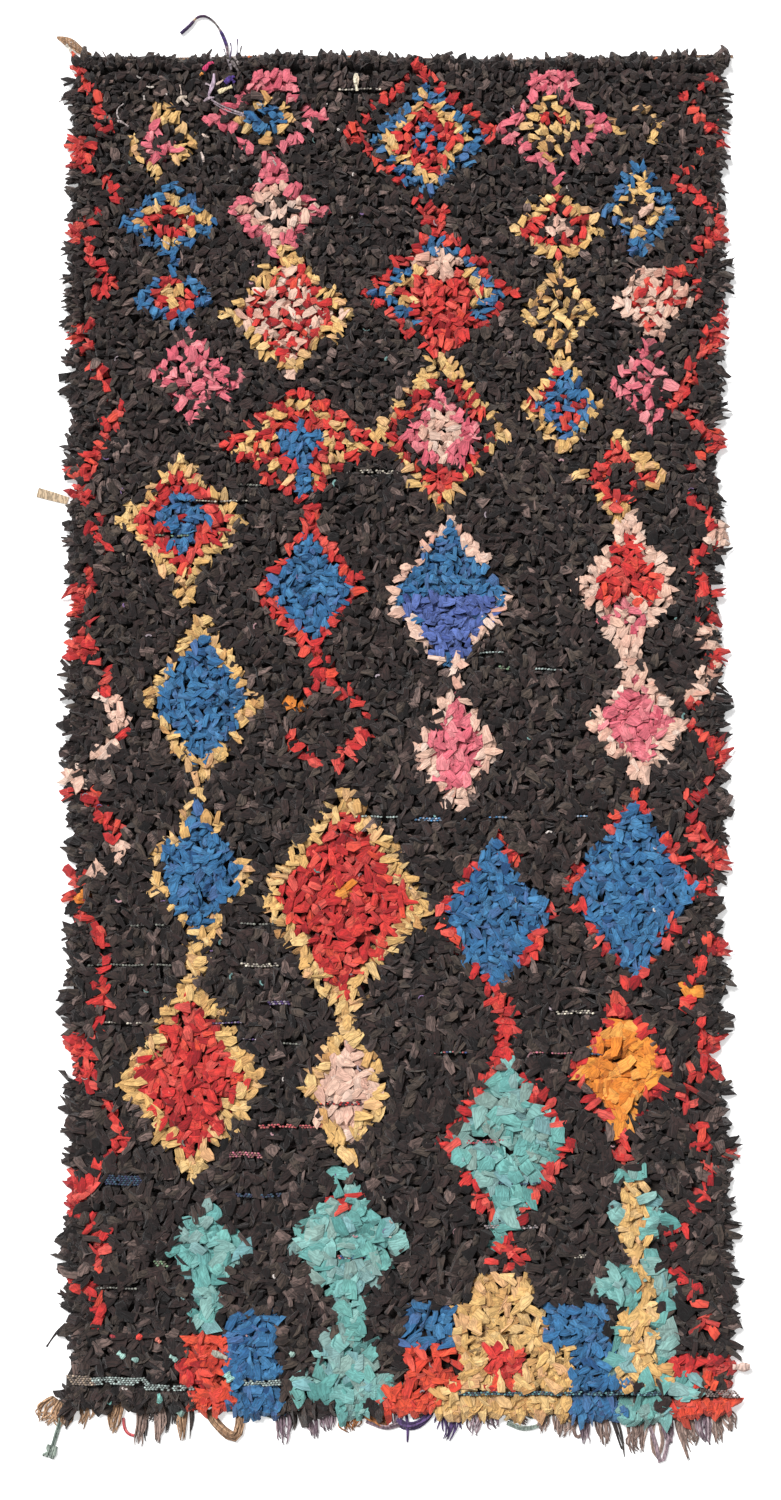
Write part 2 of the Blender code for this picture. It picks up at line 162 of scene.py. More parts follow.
class FieldOutline:
    """The knotted field's four edges, read from the CAD solid of the pile."""

    RIM_LEVEL = 0.0045
    TOP_FROM = 1.395
    BOTTOM_FROM = -1.385
    SIDE_FROM = 0.64
    RUN = 9

    def __init__(self, node: bpy.types.Object) -> None:
        """Keep the corners of the solid's straight-sided rim along its four edges.

        Args:
            node: The CAD node of the rag pile.
        """
        points = np.empty(len(node.data.vertices) * 3)
        node.data.vertices.foreach_get("co", points)
        points = points.reshape(-1, 3)
        rim = points[np.abs(points[:, 2] - self.RIM_LEVEL) < 1e-4]
        self.top_line = self._line(rim[rim[:, 1] > self.TOP_FROM], 0, 1)
        self.bottom_line = self._line(rim[rim[:, 1] < self.BOTTOM_FROM], 0, 1)
        self.right_line = self._line(rim[rim[:, 0] > self.SIDE_FROM], 1, 0)
        self.left_line = self._line(rim[rim[:, 0] < -self.SIDE_FROM], 1, 0)

    def _line(self, points: Array, along: int, height: int) -> Array:
        """Take the medians of short runs along one axis, so that single locks don't move the line."""
        ordered = points[np.argsort(points[:, along])]
        runs = np.array_split(ordered, max(4, len(ordered) // self.RUN))
        middles = np.array([np.median(run[:, [along, height]], axis=0) for run in runs])
        ends = ordered[[0, -1]][:, [along, height]]
        return np.vstack([ends[:1], middles, ends[1:]])

    def left(self, along: Array) -> Array:
        """The left edge at places along the rug."""
        return np.interp(along, self.left_line[:, 0], self.left_line[:, 1])

    def right(self, along: Array) -> Array:
        """The right edge at places along the rug."""
        return np.interp(along, self.right_line[:, 0], self.right_line[:, 1])

    def top(self, across: Array) -> Array:
        """The top edge at places across the rug."""
        return np.interp(across, self.top_line[:, 0], self.top_line[:, 1])

    def bottom(self, across: Array) -> Array:
        """The bottom edge at places across the rug."""
        return np.interp(across, self.bottom_line[:, 0], self.bottom_line[:, 1])


@dataclass
class Knots:
    """Every knot of the field: its place, column and row and one random share.

    A knot at the rim also has the way that it leans, and in a lock the extra length of its rags.
    """

    across: Array
    along: Array
    column: Array
    row: Array
    chance: Array
    lean: Array
    lock: Array


@dataclass(frozen=True)
class Band:
    """One nested band of a lozenge; its width is counted in band steps across the rug."""

    rag: Rag
    steps: float = 99.0
    cover: float = 1.0
    other: Rag | None = None


@dataclass(frozen=True)
class Lozenge:
    """A diamond of nested bands; its centre and half sizes are centimetres."""

    across: float
    along: float
    half_width: float
    half_length: float
    bands: tuple[Band, ...]

    def lay(self, knots: Knots, rags: Array, flare: Array) -> None:
        """Colour the knots inside the diamond where |x|/width + |y|/length is at most one.

        Args:
            knots: The knots of the field.
            rags: The colour of each knot, changed here.
            flare: The way that each edge knot leans, changed here.
        """
        side = knots.across - self.across * CM
        rise = knots.along - self.along * CM
        reach = np.abs(side) / (self.half_width * CM) + np.abs(rise) / (self.half_length * CM)
        depth = (1.0 - reach) * self.half_width * CM / BAND_STEP
        outer = 0.0
        for band in self.bands:
            inside = (depth >= outer) & (depth < outer + band.steps) & (knots.chance <= band.cover)
            rags[inside] = band.rag.value
            if band.other is not None:
                checked = inside & ((knots.column + knots.row) % 2 == 1)
                rags[checked] = band.other.value
            if outer == 0.0:
                flare[inside] = np.arctan2(rise[inside], side[inside])
            outer += band.steps


class Patch:
    """A figure of one colour, laid where its own shape covers the knots."""

    def lay(self, knots: Knots, rags: Array, flare: Array) -> None:
        """Colour the knots that the figure covers.

        Args:
            knots: The knots of the field.
            rags: The colour of each knot, changed here.
            flare: The way that each edge knot leans, left as it is.
        """
        rags[self.covers(knots) & (knots.chance <= self.cover)] = self.rag.value


@dataclass(frozen=True)
class Block(Patch):
    """A straight-sided patch; its sides are centimetres."""

    left: float
    right: float
    bottom: float
    top: float
    rag: Rag
    cover: float = 1.0

    def covers(self, knots: Knots) -> Array:
        """Which knots lie between the four sides."""
        inside = (knots.across >= self.left * CM) & (knots.across <= self.right * CM)
        return inside & (knots.along >= self.bottom * CM) & (knots.along <= self.top * CM)


@dataclass(frozen=True)
class Zigzag(Patch):
    """A line that turns from side to side along a selvedge; its turns are (along, across) in centimetres."""

    turns: tuple[Span, ...]
    rag: Rag
    low: float = -200.0
    high: float = 200.0
    half_width: float = 1.35
    cover: float = 0.76

    def covers(self, knots: Knots) -> Array:
        """Which knots lie within half a width of the line through the turns."""
        turns = np.array(self.turns[::-1]) * CM
        line = np.interp(knots.along, turns[:, 0], turns[:, 1])
        near = np.abs(knots.across - line) <= self.half_width * CM
        low, high = max(turns[0, 0], self.low * CM), min(turns[-1, 0], self.high * CM)
        return near & (knots.along >= low) & (knots.along <= high)


LEFT_TURNS = (
    (139.5, -67.5), (135, -65), (131, -62.8), (126.5, -62.5), (124.5, -65), (120, -66), (116, -62.5),
    (113.3, -58.8), (108.5, -64.5), (105.2, -66.5), (99.5, -64), (95, -60.5), (83.5, -67), (68, -58.5),
    (53, -66.5), (40, -62.5), (36, -62.8), (31, -65.5), (15.8, -65.2), (14.5, -61.5), (9, -61.5),
    (3.5, -58.5), (-0.5, -58.5), (-10.5, -68), (-13, -63.5), (-19, -61), (-24, -58.5), (-28, -63),
    (-33, -67), (-37.3, -65.5), (-41.5, -62.8), (-48.5, -62.5), (-57, -62.3), (-61, -63.5), (-66, -65.8),
    (-70.2, -64.5), (-75, -63), (-84.5, -57.6), (-88.5, -61), (-91.5, -64.5), (-98.5, -67), (-102.5, -64.5),
    (-106.5, -61.5), (-112.5, -64.5), (-116, -65.5), (-119.5, -62.5), (-123, -63.5)
)
RIGHT_TURNS = (
    (138.5, 67), (135.5, 63), (132.5, 58.5), (129, 63.5), (126, 66), (116, 58), (107.5, 67), (97, 58.7),
    (90.5, 65), (87.5, 67), (80, 63.8), (74, 61), (69.5, 58), (61.3, 65.5), (52.5, 58.5), (46.5, 63.8),
    (42.5, 65.5), (35.5, 60.8), (27, 65.5), (20.5, 62.3), (17, 65.5), (4, 61), (0.3, 63), (-4, 65.6),
    (-7.5, 64), (-16.3, 60.8), (-21.5, 62.5), (-27, 66), (-40.7, 66), (-45.7, 63.5), (-54.5, 59.8),
    (-59.5, 61.3), (-65, 64.5), (-76.5, 60), (-84.5, 63.5), (-88, 65), (-98, 61.5), (-102.5, 58.8),
    (-107.5, 57.2), (-113, 58.6), (-117, 62.5), (-126, 64)
)
ZIGZAGS = (
    Zigzag(LEFT_TURNS, RED),
    Zigzag(LEFT_TURNS, SHELL, 2, 8.5, cover=0.85),
    Zigzag(LEFT_TURNS, SHELL, -11.5, -1.5, cover=0.85),
    Zigzag(LEFT_TURNS, SHELL, -29, -22.5, cover=0.6),
    Zigzag(LEFT_TURNS, MARIGOLD, -34.5, -31, cover=0.6),
    Zigzag(RIGHT_TURNS, RED),
    Zigzag(RIGHT_TURNS, SHELL, 40.5, 44.5, cover=0.6),
    Zigzag(RIGHT_TURNS, SHELL, 17.5, 22.5, cover=0.7),
    Zigzag(RIGHT_TURNS, SHELL, 8.5, 14, cover=0.75),
    Zigzag(RIGHT_TURNS, SHELL, 2.5, 6, cover=0.8),
    Zigzag(RIGHT_TURNS, MARIGOLD, -58.5, -53.5, cover=0.5),
)

FIRST_COLUMN = (
    Lozenge(-50, 123.8, 8.2, 8.6, (Band(STRAW, 1.1, 0.72), Band(BLACK, 0.5),
        Band(ROSE, 1.1, 0.7), Band(BLACK))),
    Lozenge(-48, 107.2, 11.2, 7.8, (Band(BLUE, 1.3), Band(STRAW, 1.1), Band(RED, 1.2), Band(BLACK))),
    Block(-49, -46, 96.5, 101, BLUE),
    Block(-48.5, -45.5, 85.5, 88.5, BLUE),
    Lozenge(-47.2, 91.7, 9.3, 6, (Band(BLUE, 1.3), Band(RED, 1.3), Band(STRAW))),
    Lozenge(-43.4, 75, 10.6, 10.9, (Band(ROSE, other=BLACK),)),
    Block(-46, -43, 26.5, 32, STRAW),
    Lozenge(-45.4, 44.6, 13.4, 14.2, (Band(STRAW, 1.2), Band(RED, 1.3), Band(BLUE, 1.1, other=RED),
        Band(RED, 0.9, other=BLUE), Band(BLUE, other=RED))),
    Lozenge(-41.5, 7, 12.4, 19, (Band(STRAW, 1.15), Band(BLUE))),
    Lozenge(-41.9, -28.8, 11.4, 17.2, (Band(STRAW, 0.95, 0.72), Band(BLUE))),
    Block(-44.5, -42, -50, -44.5, STRAW),
    Lozenge(-43.6, -72.1, 15.6, 22.2, (Band(STRAW, 1.45), Band(RED))),
    Lozenge(-40.2, -107.8, 8, 10.6, (Band(TURQUOISE),)),
    Block(-43.6, -37.6, -121.5, -114, TURQUOISE),
    Block(-42.6, -40, -126, -121, TURQUOISE),
)
SECOND_COLUMN = (
    Lozenge(-27.6, 129, 12.8, 10, (Band(ROSE, 1.2, 0.95), Band(BLACK))),
    Block(-31, -22.5, 135.2, 138.4, ROSE),
    Lozenge(-28, 129, 6.9, 5.6, (Band(STRAW, cover=0.9),)),
    Lozenge(-27.8, 128.9, 4.6, 3.6, (Band(BLUE),)),
    Block(-28.4, -26.8, 128, 129.6, BLACK),
    Block(-28, -24.5, 115, 119.5, ROSE),
    Lozenge(-25.8, 109.5, 10.4, 9.2, (Band(ROSE, 1.2), Band(SHELL, 1.4), Band(BLACK, 1), Band(SHELL))),
    Block(-25, -22, 99, 101.5, STRAW),
    Lozenge(-23.2, 88, 13.8, 13.6, (Band(STRAW, 1.15), Band(SHELL, other=RED))),
    Block(-24.3, -21.3, 73.5, 75.5, SHELL),
    Lozenge(-21.1, 60.9, 17, 12.2, (Band(RED, 1.3), Band(STRAW, 1.3, 0.9), Band(RED, 1.2),
        Band(STRAW, 1, other=RED), Band(BLUE))),
    Block(-21.5, -18.5, 49.5, 57, BLUE),
    Block(-20.5, -17.5, 44.5, 48, RED),
    Lozenge(-18.6, 30.8, 11.8, 15, (Band(RED, 1.25), Band(BLUE))),
    Block(-18, -15.5, 12.5, 16.5, RED),
    Lozenge(-15.4, 2.2, 10.4, 12.8, (Band(RED, 0.9, 0.7), Band(BLACK))),
    Block(-18.5, -12.5, -12, -7.5, BLACK),
    Block(-23.5, -21, 4.5, 6.5, MARIGOLD),
    Lozenge(-11.6, -35, 18.3, 25, (Band(STRAW, 1.45), Band(RED))),
    Lozenge(-11.2, -32, 2.4, 2.4, (Band(MARIGOLD),)),
    Lozenge(-11.1, -74, 9.4, 15.8, (Band(STRAW, 1.15), Band(SHELL))),
    Block(-13.5, -11, -93.5, -89.5, TURQUOISE),
    Lozenge(-11, -106.6, 12.6, 13.4, (Band(TURQUOISE),)),
    Block(-18.5, -4.5, -116, -102, TURQUOISE, 0.93),
    Lozenge(-11.8, -97.6, 3.2, 3.4, (Band(RED),)),
    Block(-13.6, -7.4, -127, -115, TURQUOISE),
    Block(-17.2, -5.8, -134.5, -125.5, TURQUOISE),
    Block(-22.6, -1.4, -138.2, -133.6, TURQUOISE),
    Block(-13.4, -7, -142.5, -137.6, TURQUOISE),
)
THIRD_COLUMN = (
    Lozenge(4.2, 125.8, 16.4, 14.8, (Band(RED, 1.05, 0.93), Band(BLACK))),
    Lozenge(5.6, 124.3, 12.4, 12.2, (Band(BLUE, 1.15), Band(STRAW, 0.9), Band(RED, 1.1),
        Band(BLUE, other=RED))),
    Block(4.6, 8.8, 106, 111.5, RED),
    Lozenge(8.5, 92.4, 16.4, 14.6, (Band(RED, 1.1, 0.9), Band(BLUE, 1.2), Band(STRAW, 1), Band(RED))),
    Lozenge(8.7, 98.6, 5.8, 3.4, (Band(SHELL),)),
    Lozenge(9, 87.5, 6.5, 9, (Band(RED),)),
    Block(7.5, 10.5, 75.5, 79.5, STRAW),
    Lozenge(8.8, 63.2, 14.8, 16.8, (Band(STRAW, 1.1, 0.94), Band(RED, 1, 0.85),
        Band(BLACK, 0.8), Band(ROSE, 1.1), Band(SHELL))),
    Lozenge(9.1, 52.8, 3.2, 4, (Band(RED),)),
    Lozenge(10.4, 29, 14.2, 17.4, (Band(SHELL, 1.15, 0.92), Band(BLUE))),
    Block(1.5, 19.3, 24.5, 28.5, PERIWINKLE),
    Block(4.2, 16.6, 20.5, 24.5, PERIWINKLE),
    Block(6.8, 14.2, 17, 20.5, PERIWINKLE),
    Lozenge(11.6, -2.7, 8.6, 14.6, (Band(SHELL, 0.95, 0.9), Band(ROSE))),
    Lozenge(20, -38, 13.2, 19.4, (Band(RED, 0.95, 0.82), Band(BLUE))),
    Block(19.6, 23.2, -66.5, -55, RED),
    Lozenge(22.4, -85.4, 14.6, 21.5, (Band(RED, 1.1, 0.88), Band(TURQUOISE))),
    Block(18, 22.5, -108, -104.5, TURQUOISE),
    Lozenge(22.5, -109, 4.6, 4, (Band(RED, cover=0.9),)),
)
FOURTH_COLUMN = (
    Lozenge(32.1, 127, 12.4, 10.6, (Band(ROSE, 1.15, 0.95), Band(BLACK, 0.5),
        Band(STRAW, other=BLACK))),
    Block(27.4, 35, 134.4, 137.6, ROSE),
    Block(30.4, 33.4, 127.6, 130, RED),
    Block(32, 34.5, 112.5, 117, ROSE),
    Lozenge(33.2, 105.9, 10.2, 8.2, (Band(STRAW, 1.1), Band(RED, 1.2), Band(BLACK, 1), Band(SHELL))),
    Lozenge(33.8, 88.3, 9.2, 10.2, (Band(STRAW, other=BLACK),)),
    Lozenge(34.3, 69, 8.8, 10.6, (Band(STRAW, 1, 0.85), Band(RED, 1, other=BLUE),
        Band(BLUE, other=RED))),
    Lozenge(45.8, 53.8, 9.2, 9.8, (Band(STRAW, 1, 0.72), Band(RED, 1.4), Band(BLACK))),
    Lozenge(47.9, 31, 10.4, 16, (Band(SHELL, 1.25), Band(RED))),
    Lozenge(48.5, 24, 5.4, 5.4, (Band(ROSE, other=SHELL),)),
    Block(47, 49.5, 12.5, 17, SHELL),
    Lozenge(49.6, 2.4, 10.2, 12.4, (Band(SHELL, 1.05, 0.93), Band(ROSE))),
    Lozenge(48.7, -32.2, 15.4, 21.6, (Band(RED, 0.95, 0.85), Band(BLUE))),
    Lozenge(46.5, -70.4, 11, 17, (Band(RED, 1.05, 0.88), Band(MARIGOLD))),
    Block(44.5, 48, -90, -87, RED),
    Block(45.6, 51.2, -95.5, -90.6, TURQUOISE),
    Lozenge(50.4, -101, 7, 9.5, (Band(TURQUOISE),)),
    Lozenge(50.2, -115.6, 9, 8.4, (Band(TURQUOISE),)),
    Block(44.2, 57.4, -132.5, -122.5, TURQUOISE, 0.94),
    Block(40.4, 47.4, -139, -132, TURQUOISE, 0.9),
    Block(46, 57, -143, -137.5, TURQUOISE, 0.8),
    Block(47, 51, -106, -94.5, STRAW),
    Block(48.2, 52.4, -113.5, -105, STRAW),
    Block(49.2, 54.2, -121.5, -112, STRAW),
    Block(46, 53, -127.5, -120.5, STRAW),
    Block(48.2, 53.2, -133.5, -126.5, STRAW),
    Block(46.4, 58.4, -137.4, -132.8, STRAW, 0.94),
)
FIFTH_COLUMN = (
    Lozenge(50.7, 126.8, 6, 4.8, (Band(STRAW, 1.1, 0.66), Band(BLACK))),
    Lozenge(50.3, 109.8, 8, 10.6, (Band(BLUE, 1.2), Band(STRAW, 0.9), Band(BLACK, 0.9), Band(SHELL))),
    Lozenge(53.3, 91, 9.2, 8.4, (Band(SHELL, 0.9), Band(RED, other=SHELL))),
    Lozenge(52.1, 73.2, 6.8, 9.6, (Band(ROSE, other=BLACK),)),
)
LOWER_BLOCKS = tuple(Block(*row) for row in (
    (1, 12.4, -127.5, -119.5, BLUE),
    (30.6, 42.5, -128, -118.8, BLUE),
    (32.5, 45.5, -137.6, -127, BLUE),
    (15.4, 27, -120.5, -113.5, STRAW),
    (11, 29.8, -128.3, -120, STRAW),
    (11, 35.2, -137.4, -128, STRAW),
    (1, 13.4, -137.4, -127.3, VERMILION),
    (18.2, 25.4, -138.4, -128.2, RED),
    (20.4, 25.4, -138.4, -134, VERMILION),
    (-43.9, -35.2, -143, -126, VERMILION),
    (-46.6, -41, -136.5, -130, RED),
    (-35.4, -24.6, -144, -120.4, BLUE),
    (57, 74, -137.2, -129, RED, 0.94),
    (62, 74, -137.2, -134.4, VERMILION, 0.94),
    (-4.5, 8.6, -143, -137.4, VERMILION),
    (7.8, 35.6, -143, -137.6, STRAW),
    (35.8, 47.2, -144, -137.6, BLUE),
    (57.6, 62.4, -139.4, -133.8, TURQUOISE),
    (57.6, 71.6, -144, -138.8, VERMILION),
    (-60, -55, -143.5, -138.5, VERMILION),
))


class PatternChart:
    """The chart of the rug: the figures are laid in order, each over those before it."""

    def __init__(self) -> None:
        """Put the columns of lozenges, the zigzags and the blocks in their order."""
        self.figures = (*FIRST_COLUMN, *SECOND_COLUMN, *THIRD_COLUMN, *FOURTH_COLUMN, *FIFTH_COLUMN,
                        *ZIGZAGS, *LOWER_BLOCKS)

    def read(self, knots: Knots) -> tuple[Array, Array]:
        """Give each knot its colour, and the way it leans where it edges a lozenge.

        Args:
            knots: The knots of the field.

        Returns:
            The colour numbers, and the directions in radians, not a number where there is none.
        """
        rags = np.full(len(knots.across), BLACK.value)
        flare = np.full(len(knots.across), np.nan)
        for figure in self.figures:
            figure.lay(knots, rags, flare)
        return rags, flare


@dataclass(frozen=True)
class KnotLattice:
    """Where the knots lie: in rows, in a close line along each edge, and in the locks of the selvedges."""

    columns: int = 42
    rows: int = 68
    clear: float = 0.044
    end_clear: float = 0.034
    rim_half_length: float = 1.405
    rim_across: Span = (-0.672, 0.69)
    rim_pitch: float = 0.011
    end_pitch: float = 0.8
    left_set: Span = (0.033, 0.045)
    right_set: Span = (0.036, 0.05)
    top_set: Span = (0.018, 0.027)
    bottom_set: Span = (0.02, 0.032)
    coarse_set: float = 0.034
    lock_start: float = -1.4
    lock_pitch: float = 0.021
    lock_stray: float = 0.009
    lock_set: Span = (0.037, 0.042)
    lock_coarse_set: Span = (0.03, 0.032)
    lock_extra: Span = (0.002, 0.028)

    def set_out(self, outline: FieldOutline, rng: Rng) -> Knots:
        """Set out the knots; those of an edge stand further in where the rags are coarse.

        Args:
            outline: The field's four edges.
            rng: Where the irregular places and each knot's random share come from.

        Returns:
            The knots.
        """
        column, row = (grid.ravel() for grid in np.meshgrid(np.arange(-self.columns, self.columns + 1),
                                                            np.arange(-self.rows, self.rows + 1)))
        across = column * KNOT_WIDTH
        along = row * KNOT_ROW
        inside = (across > outline.left(along) + self.clear) & (across < outline.right(along) - self.clear)
        inside &= along > outline.bottom(across) + self.end_clear
        inside &= along < outline.top(across) - self.end_clear
        across, along = across[inside], along[inside]
        tall = np.arange(-self.rim_half_length, self.rim_half_length, self.rim_pitch)
        wide = np.arange(*self.rim_across, self.end_pitch * self.rim_pitch)
        locks = np.arange(self.lock_start, self.rim_half_length, self.lock_pitch)
        left_locks, right_locks = (locks + rng.uniform(-self.lock_stray, self.lock_stray, len(locks))
                                   for _ in range(2))
        coarse = self.coarse_set * np.maximum(coarseness(tall) - 1.0, 0.0)
        left_coarse, right_coarse = (share * np.maximum(coarseness(locks) - 1.0, 0.0)
                                     for share in self.lock_coarse_set)
        sides = (
            (outline.left(tall) + rng.uniform(*self.left_set, len(tall)) + coarse, tall, np.pi, 0.0),
            (outline.right(tall) - rng.uniform(*self.right_set, len(tall)) - coarse, tall, 0.0, 0.0),
            (wide, outline.top(wide) - rng.uniform(*self.top_set, len(wide)), np.pi / 2, 0.0),
            (wide, outline.bottom(wide) + rng.uniform(*self.bottom_set, len(wide)), -np.pi / 2, 0.0),
            (outline.left(left_locks) + self.lock_set[0] + left_coarse, left_locks, np.pi, 1.0),
            (outline.right(right_locks) - self.lock_set[1] - right_coarse, right_locks, 0.0, 1.0),
        )
        lean = np.concatenate([np.full(len(across), np.nan)]
                              + [np.full(len(part[1]), part[2]) for part in sides])
        lock = np.concatenate([np.zeros(len(across))]
                              + [part[3] * rng.uniform(*self.lock_extra, len(part[1])) for part in sides])
        across = np.concatenate([across] + [part[0] for part in sides])
        along = np.concatenate([along] + [part[1] for part in sides])
        column = np.round(across / KNOT_WIDTH).astype(int)
        row = np.round(along / KNOT_ROW).astype(int)
        return Knots(across, along, column, row, rng.random(len(across)), lean, lock)


@dataclass
class Strips:
    """A batch of rag strips: where each is knotted, how it is cut and how it lies."""

    across: Array
    along: Array
    heading: Array
    reach: Array
    width: Array
    top: Array
    tip: Array
    roll: Array
    point: Array
    fold: float

    SHARE_OUT = np.array([0.0, 0.26, 0.62, 1.0])
    SHARE_WIDE = np.array([0.45, 0.9, 1.0, 1.0])
    SHARE_TURN = np.array([0.1, 0.7, 1.0, 1.1])
    SHARE_SLANT = np.array([0.0, 0.1, 0.3, 1.0])
    ROOT_DEPTH = 0.002
    SHOULDER_DROP = (0.001, 0.006)
    OUT_STRAY = 0.05
    BEND = 0.16
    TWIST = 0.22
    CUT = (0.75, 1.15)
    POINTED = (0.3, 1.3)
    FOLD_UP = 0.62
    FOLD_SPREAD = 0.8
    OFF_CENTRE = 0.5
    SLANT = 0.9
    RAGGED = 0.12
    CREASE_END = (-0.1, 0.3)
    CROWN = 0.031
    CROWN_PRESS = 0.6
    THIN = 0.0008

    def points(self, rng: Rng) -> Array:
        """Work out four rings of three points for each strip: an edge, the crease and the other edge.

        The middle line starts in the ground, rises to the top over the first quarter, bends a little
        sideways and falls to the tip.  A ring turns with the roll, and its crease stands above or below the
        middle line by a random share of the width.  The tip is cut on the slant and drawn to a point by its
        share.  What stands over the crown is pressed down by a share of its excess.

        Args:
            rng: Where the creases and bends come from.

        Returns:
            The points, as strips by rings by ring points by three.
        """
        count = len(self.across)
        rings = (count, 4)
        zero = np.zeros(count)
        forward = np.stack([np.cos(self.heading), np.sin(self.heading), zero], axis=1)[:, None]
        side = np.stack([-np.sin(self.heading), np.cos(self.heading), zero], axis=1)[:, None]
        up = np.array([0.0, 0.0, 1.0])
        out = self.reach[:, None] * (self.SHARE_OUT + rng.normal(0.0, self.OUT_STRAY, rings) * [0, 1, 1, 0])
        bend = self.reach[:, None] * rng.normal(0.0, self.BEND, (count, 1)) * self.SHARE_OUT ** 2
        shoulder = self.top - rng.uniform(*self.SHOULDER_DROP, count)
        high = np.stack([zero + GROUND_TOP - self.ROOT_DEPTH, shoulder, self.top, self.tip], axis=1)
        middle = forward * out[..., None] + side * bend[..., None] + up * high[..., None]
        middle[..., 0] += self.across[:, None]
        middle[..., 1] += self.along[:, None]
        turn = self.roll[:, None] * self.SHARE_TURN + rng.normal(0.0, self.TWIST, rings)
        wide = side * np.cos(turn)[..., None] + up * np.sin(turn)[..., None]
        above = up * np.cos(turn)[..., None] - side * np.sin(turn)[..., None]
        half = 0.5 * self.width[:, None] * self.SHARE_WIDE * rng.uniform(*self.CUT, rings)
        half[:, 3] *= 1.0 - self.point * rng.uniform(*self.POINTED, count)
        way = np.where(rng.random(count) < self.FOLD_UP, 1.0, -1.0)[:, None]
        depth = np.abs(rng.normal(0.0, self.FOLD_SPREAD, rings))
        fold = way * (self.THIN + self.fold * depth * self.width[:, None] / 2)
        off_centre = rng.uniform(-self.OFF_CENTRE, self.OFF_CENTRE, rings) * half
        slant = rng.uniform(-self.SLANT, self.SLANT, (count, 1)) * self.SHARE_SLANT
        slant = (slant + rng.normal(0.0, self.RAGGED, rings)) * half
        first = middle - wide * (way * half)[..., None] - forward * slant[..., None]
        last = middle + wide * (way * half)[..., None] + forward * slant[..., None]
        crease = middle + wide * off_centre[..., None] + above * fold[..., None]
        ahead = rng.uniform(*self.CREASE_END, count)[:, None] * half * [0, 0, 0, 1]
        crease = crease + forward * ahead[..., None]
        corners = np.stack([first, crease, last], axis=2)
        over = np.maximum(corners[..., 2] - self.CROWN, 0.0)
        corners[..., 2] = np.maximum(corners[..., 2] - self.CROWN_PRESS * over, self.THIN)
        return corners


def strip_faces(count: int) -> list[Array]:
    """List the faces of closed strips of four rings: three runs of three quads and the two end caps.

    Args:
        count: How many strips there are.

    Returns:
        Two arrays of point numbers, the quads and the caps, turned so that each face looks outwards.
    """
    quads = []
    for ring in range(3):
        for corner in range(3):
            after = (corner + 1) % 3
            quads.append((ring * 3 + corner, ring * 3 + 3 + corner, ring * 3 + 3 + after, ring * 3 + after))
    start = (12 * np.arange(count))[:, None, None]
    caps = np.array([(0, 1, 2), (11, 10, 9)])
    return [(np.array(quads)[None] + start).reshape(-1, 4), (caps[None] + start).reshape(-1, 3)]


def strip_atlas(count: int) -> Array:
    """Give each strip a square of its own in the map, with its three long sides next to each other.

    Args:
        count: How many strips there are.

    Returns:
        Map places, one for each corner of each face of strip_faces.
    """
    cells = int(np.ceil(np.sqrt(count)))
    number = np.arange(count)
    origin = np.stack([number % cells, number // cells], axis=1) / cells
    corners = []
    for ring in range(3):
        low, high = ring / 3.4 + 0.04, (ring + 1) / 3.4 + 0.04
        for left, right in ((0.03, 0.32), (0.32, 0.62), (0.68, 0.97)):
            corners += [(left, low), (left, high), (right, high), (right, low)]
    caps = [(0.05, 0.005), (0.2, 0.005), (0.2, 0.03), (0.05, 0.95), (0.2, 0.95), (0.2, 0.98)]
    parts = [(origin[:, None] + np.array(part)[None] / cells).reshape(-1, 2) for part in (corners, caps)]
    return np.concatenate(parts)


def tube_points(paths: Array, radii: Array, sides: int, flat: float = 1.0) -> Array:
    """Carry a round section along each path.

    A ring point is the path's point plus the radius times (cos a along the level side vector, sin a along the
    vector across both, which is scaled by flat).

    Args:
        paths: Middle lines, as tubes by steps by three.
        radii: Radius at each step of each tube.
        sides: How many points a ring has.
        flat: How much lower than wide the section is.

    Returns:
        Points, as tubes by steps by ring points by three.
    """
    ahead = np.gradient(paths, axis=1)
    ahead /= np.linalg.norm(ahead, axis=2, keepdims=True) + 1e-12
    level = np.cross(np.array([0.0, 0.0, 1.0]), ahead)
    level /= np.linalg.norm(level, axis=2, keepdims=True) + 1e-12
    upward = np.cross(ahead, level)
    angle = 2.0 * np.pi * np.arange(sides) / sides
    spoke = level[:, :, None] * np.cos(angle)[:, None] + upward[:, :, None] * (flat * np.sin(angle))[:, None]
    return paths[:, :, None] + spoke * radii[:, :, None, None]


def tube_faces(count: int, steps: int, sides: int) -> list[Array]:
    """List the faces of closed tubes: quads along them and one cap at each end.

    Args:
        count: How many tubes there are.
        steps: How many rings each has.
        sides: How many points a ring has.

    Returns:
        Two arrays of point numbers, the quads and the caps.
    """
    ring = np.repeat(np.arange(steps - 1), sides)
    corner = np.tile(np.arange(sides), steps - 1)
    after = (corner + 1) % sides
    quads = np.stack([ring * sides + corner, ring * sides + after, (ring + 1) * sides + after,
                      (ring + 1) * sides + corner], axis=1)
    caps = np.stack([np.arange(sides)[::-1], (steps - 1) * sides + np.arange(sides)])
    start = (np.arange(count) * steps * sides)[:, None, None]
    return [(quads[None] + start).reshape(-1, 4), (caps[None] + start).reshape(-1, sides)]


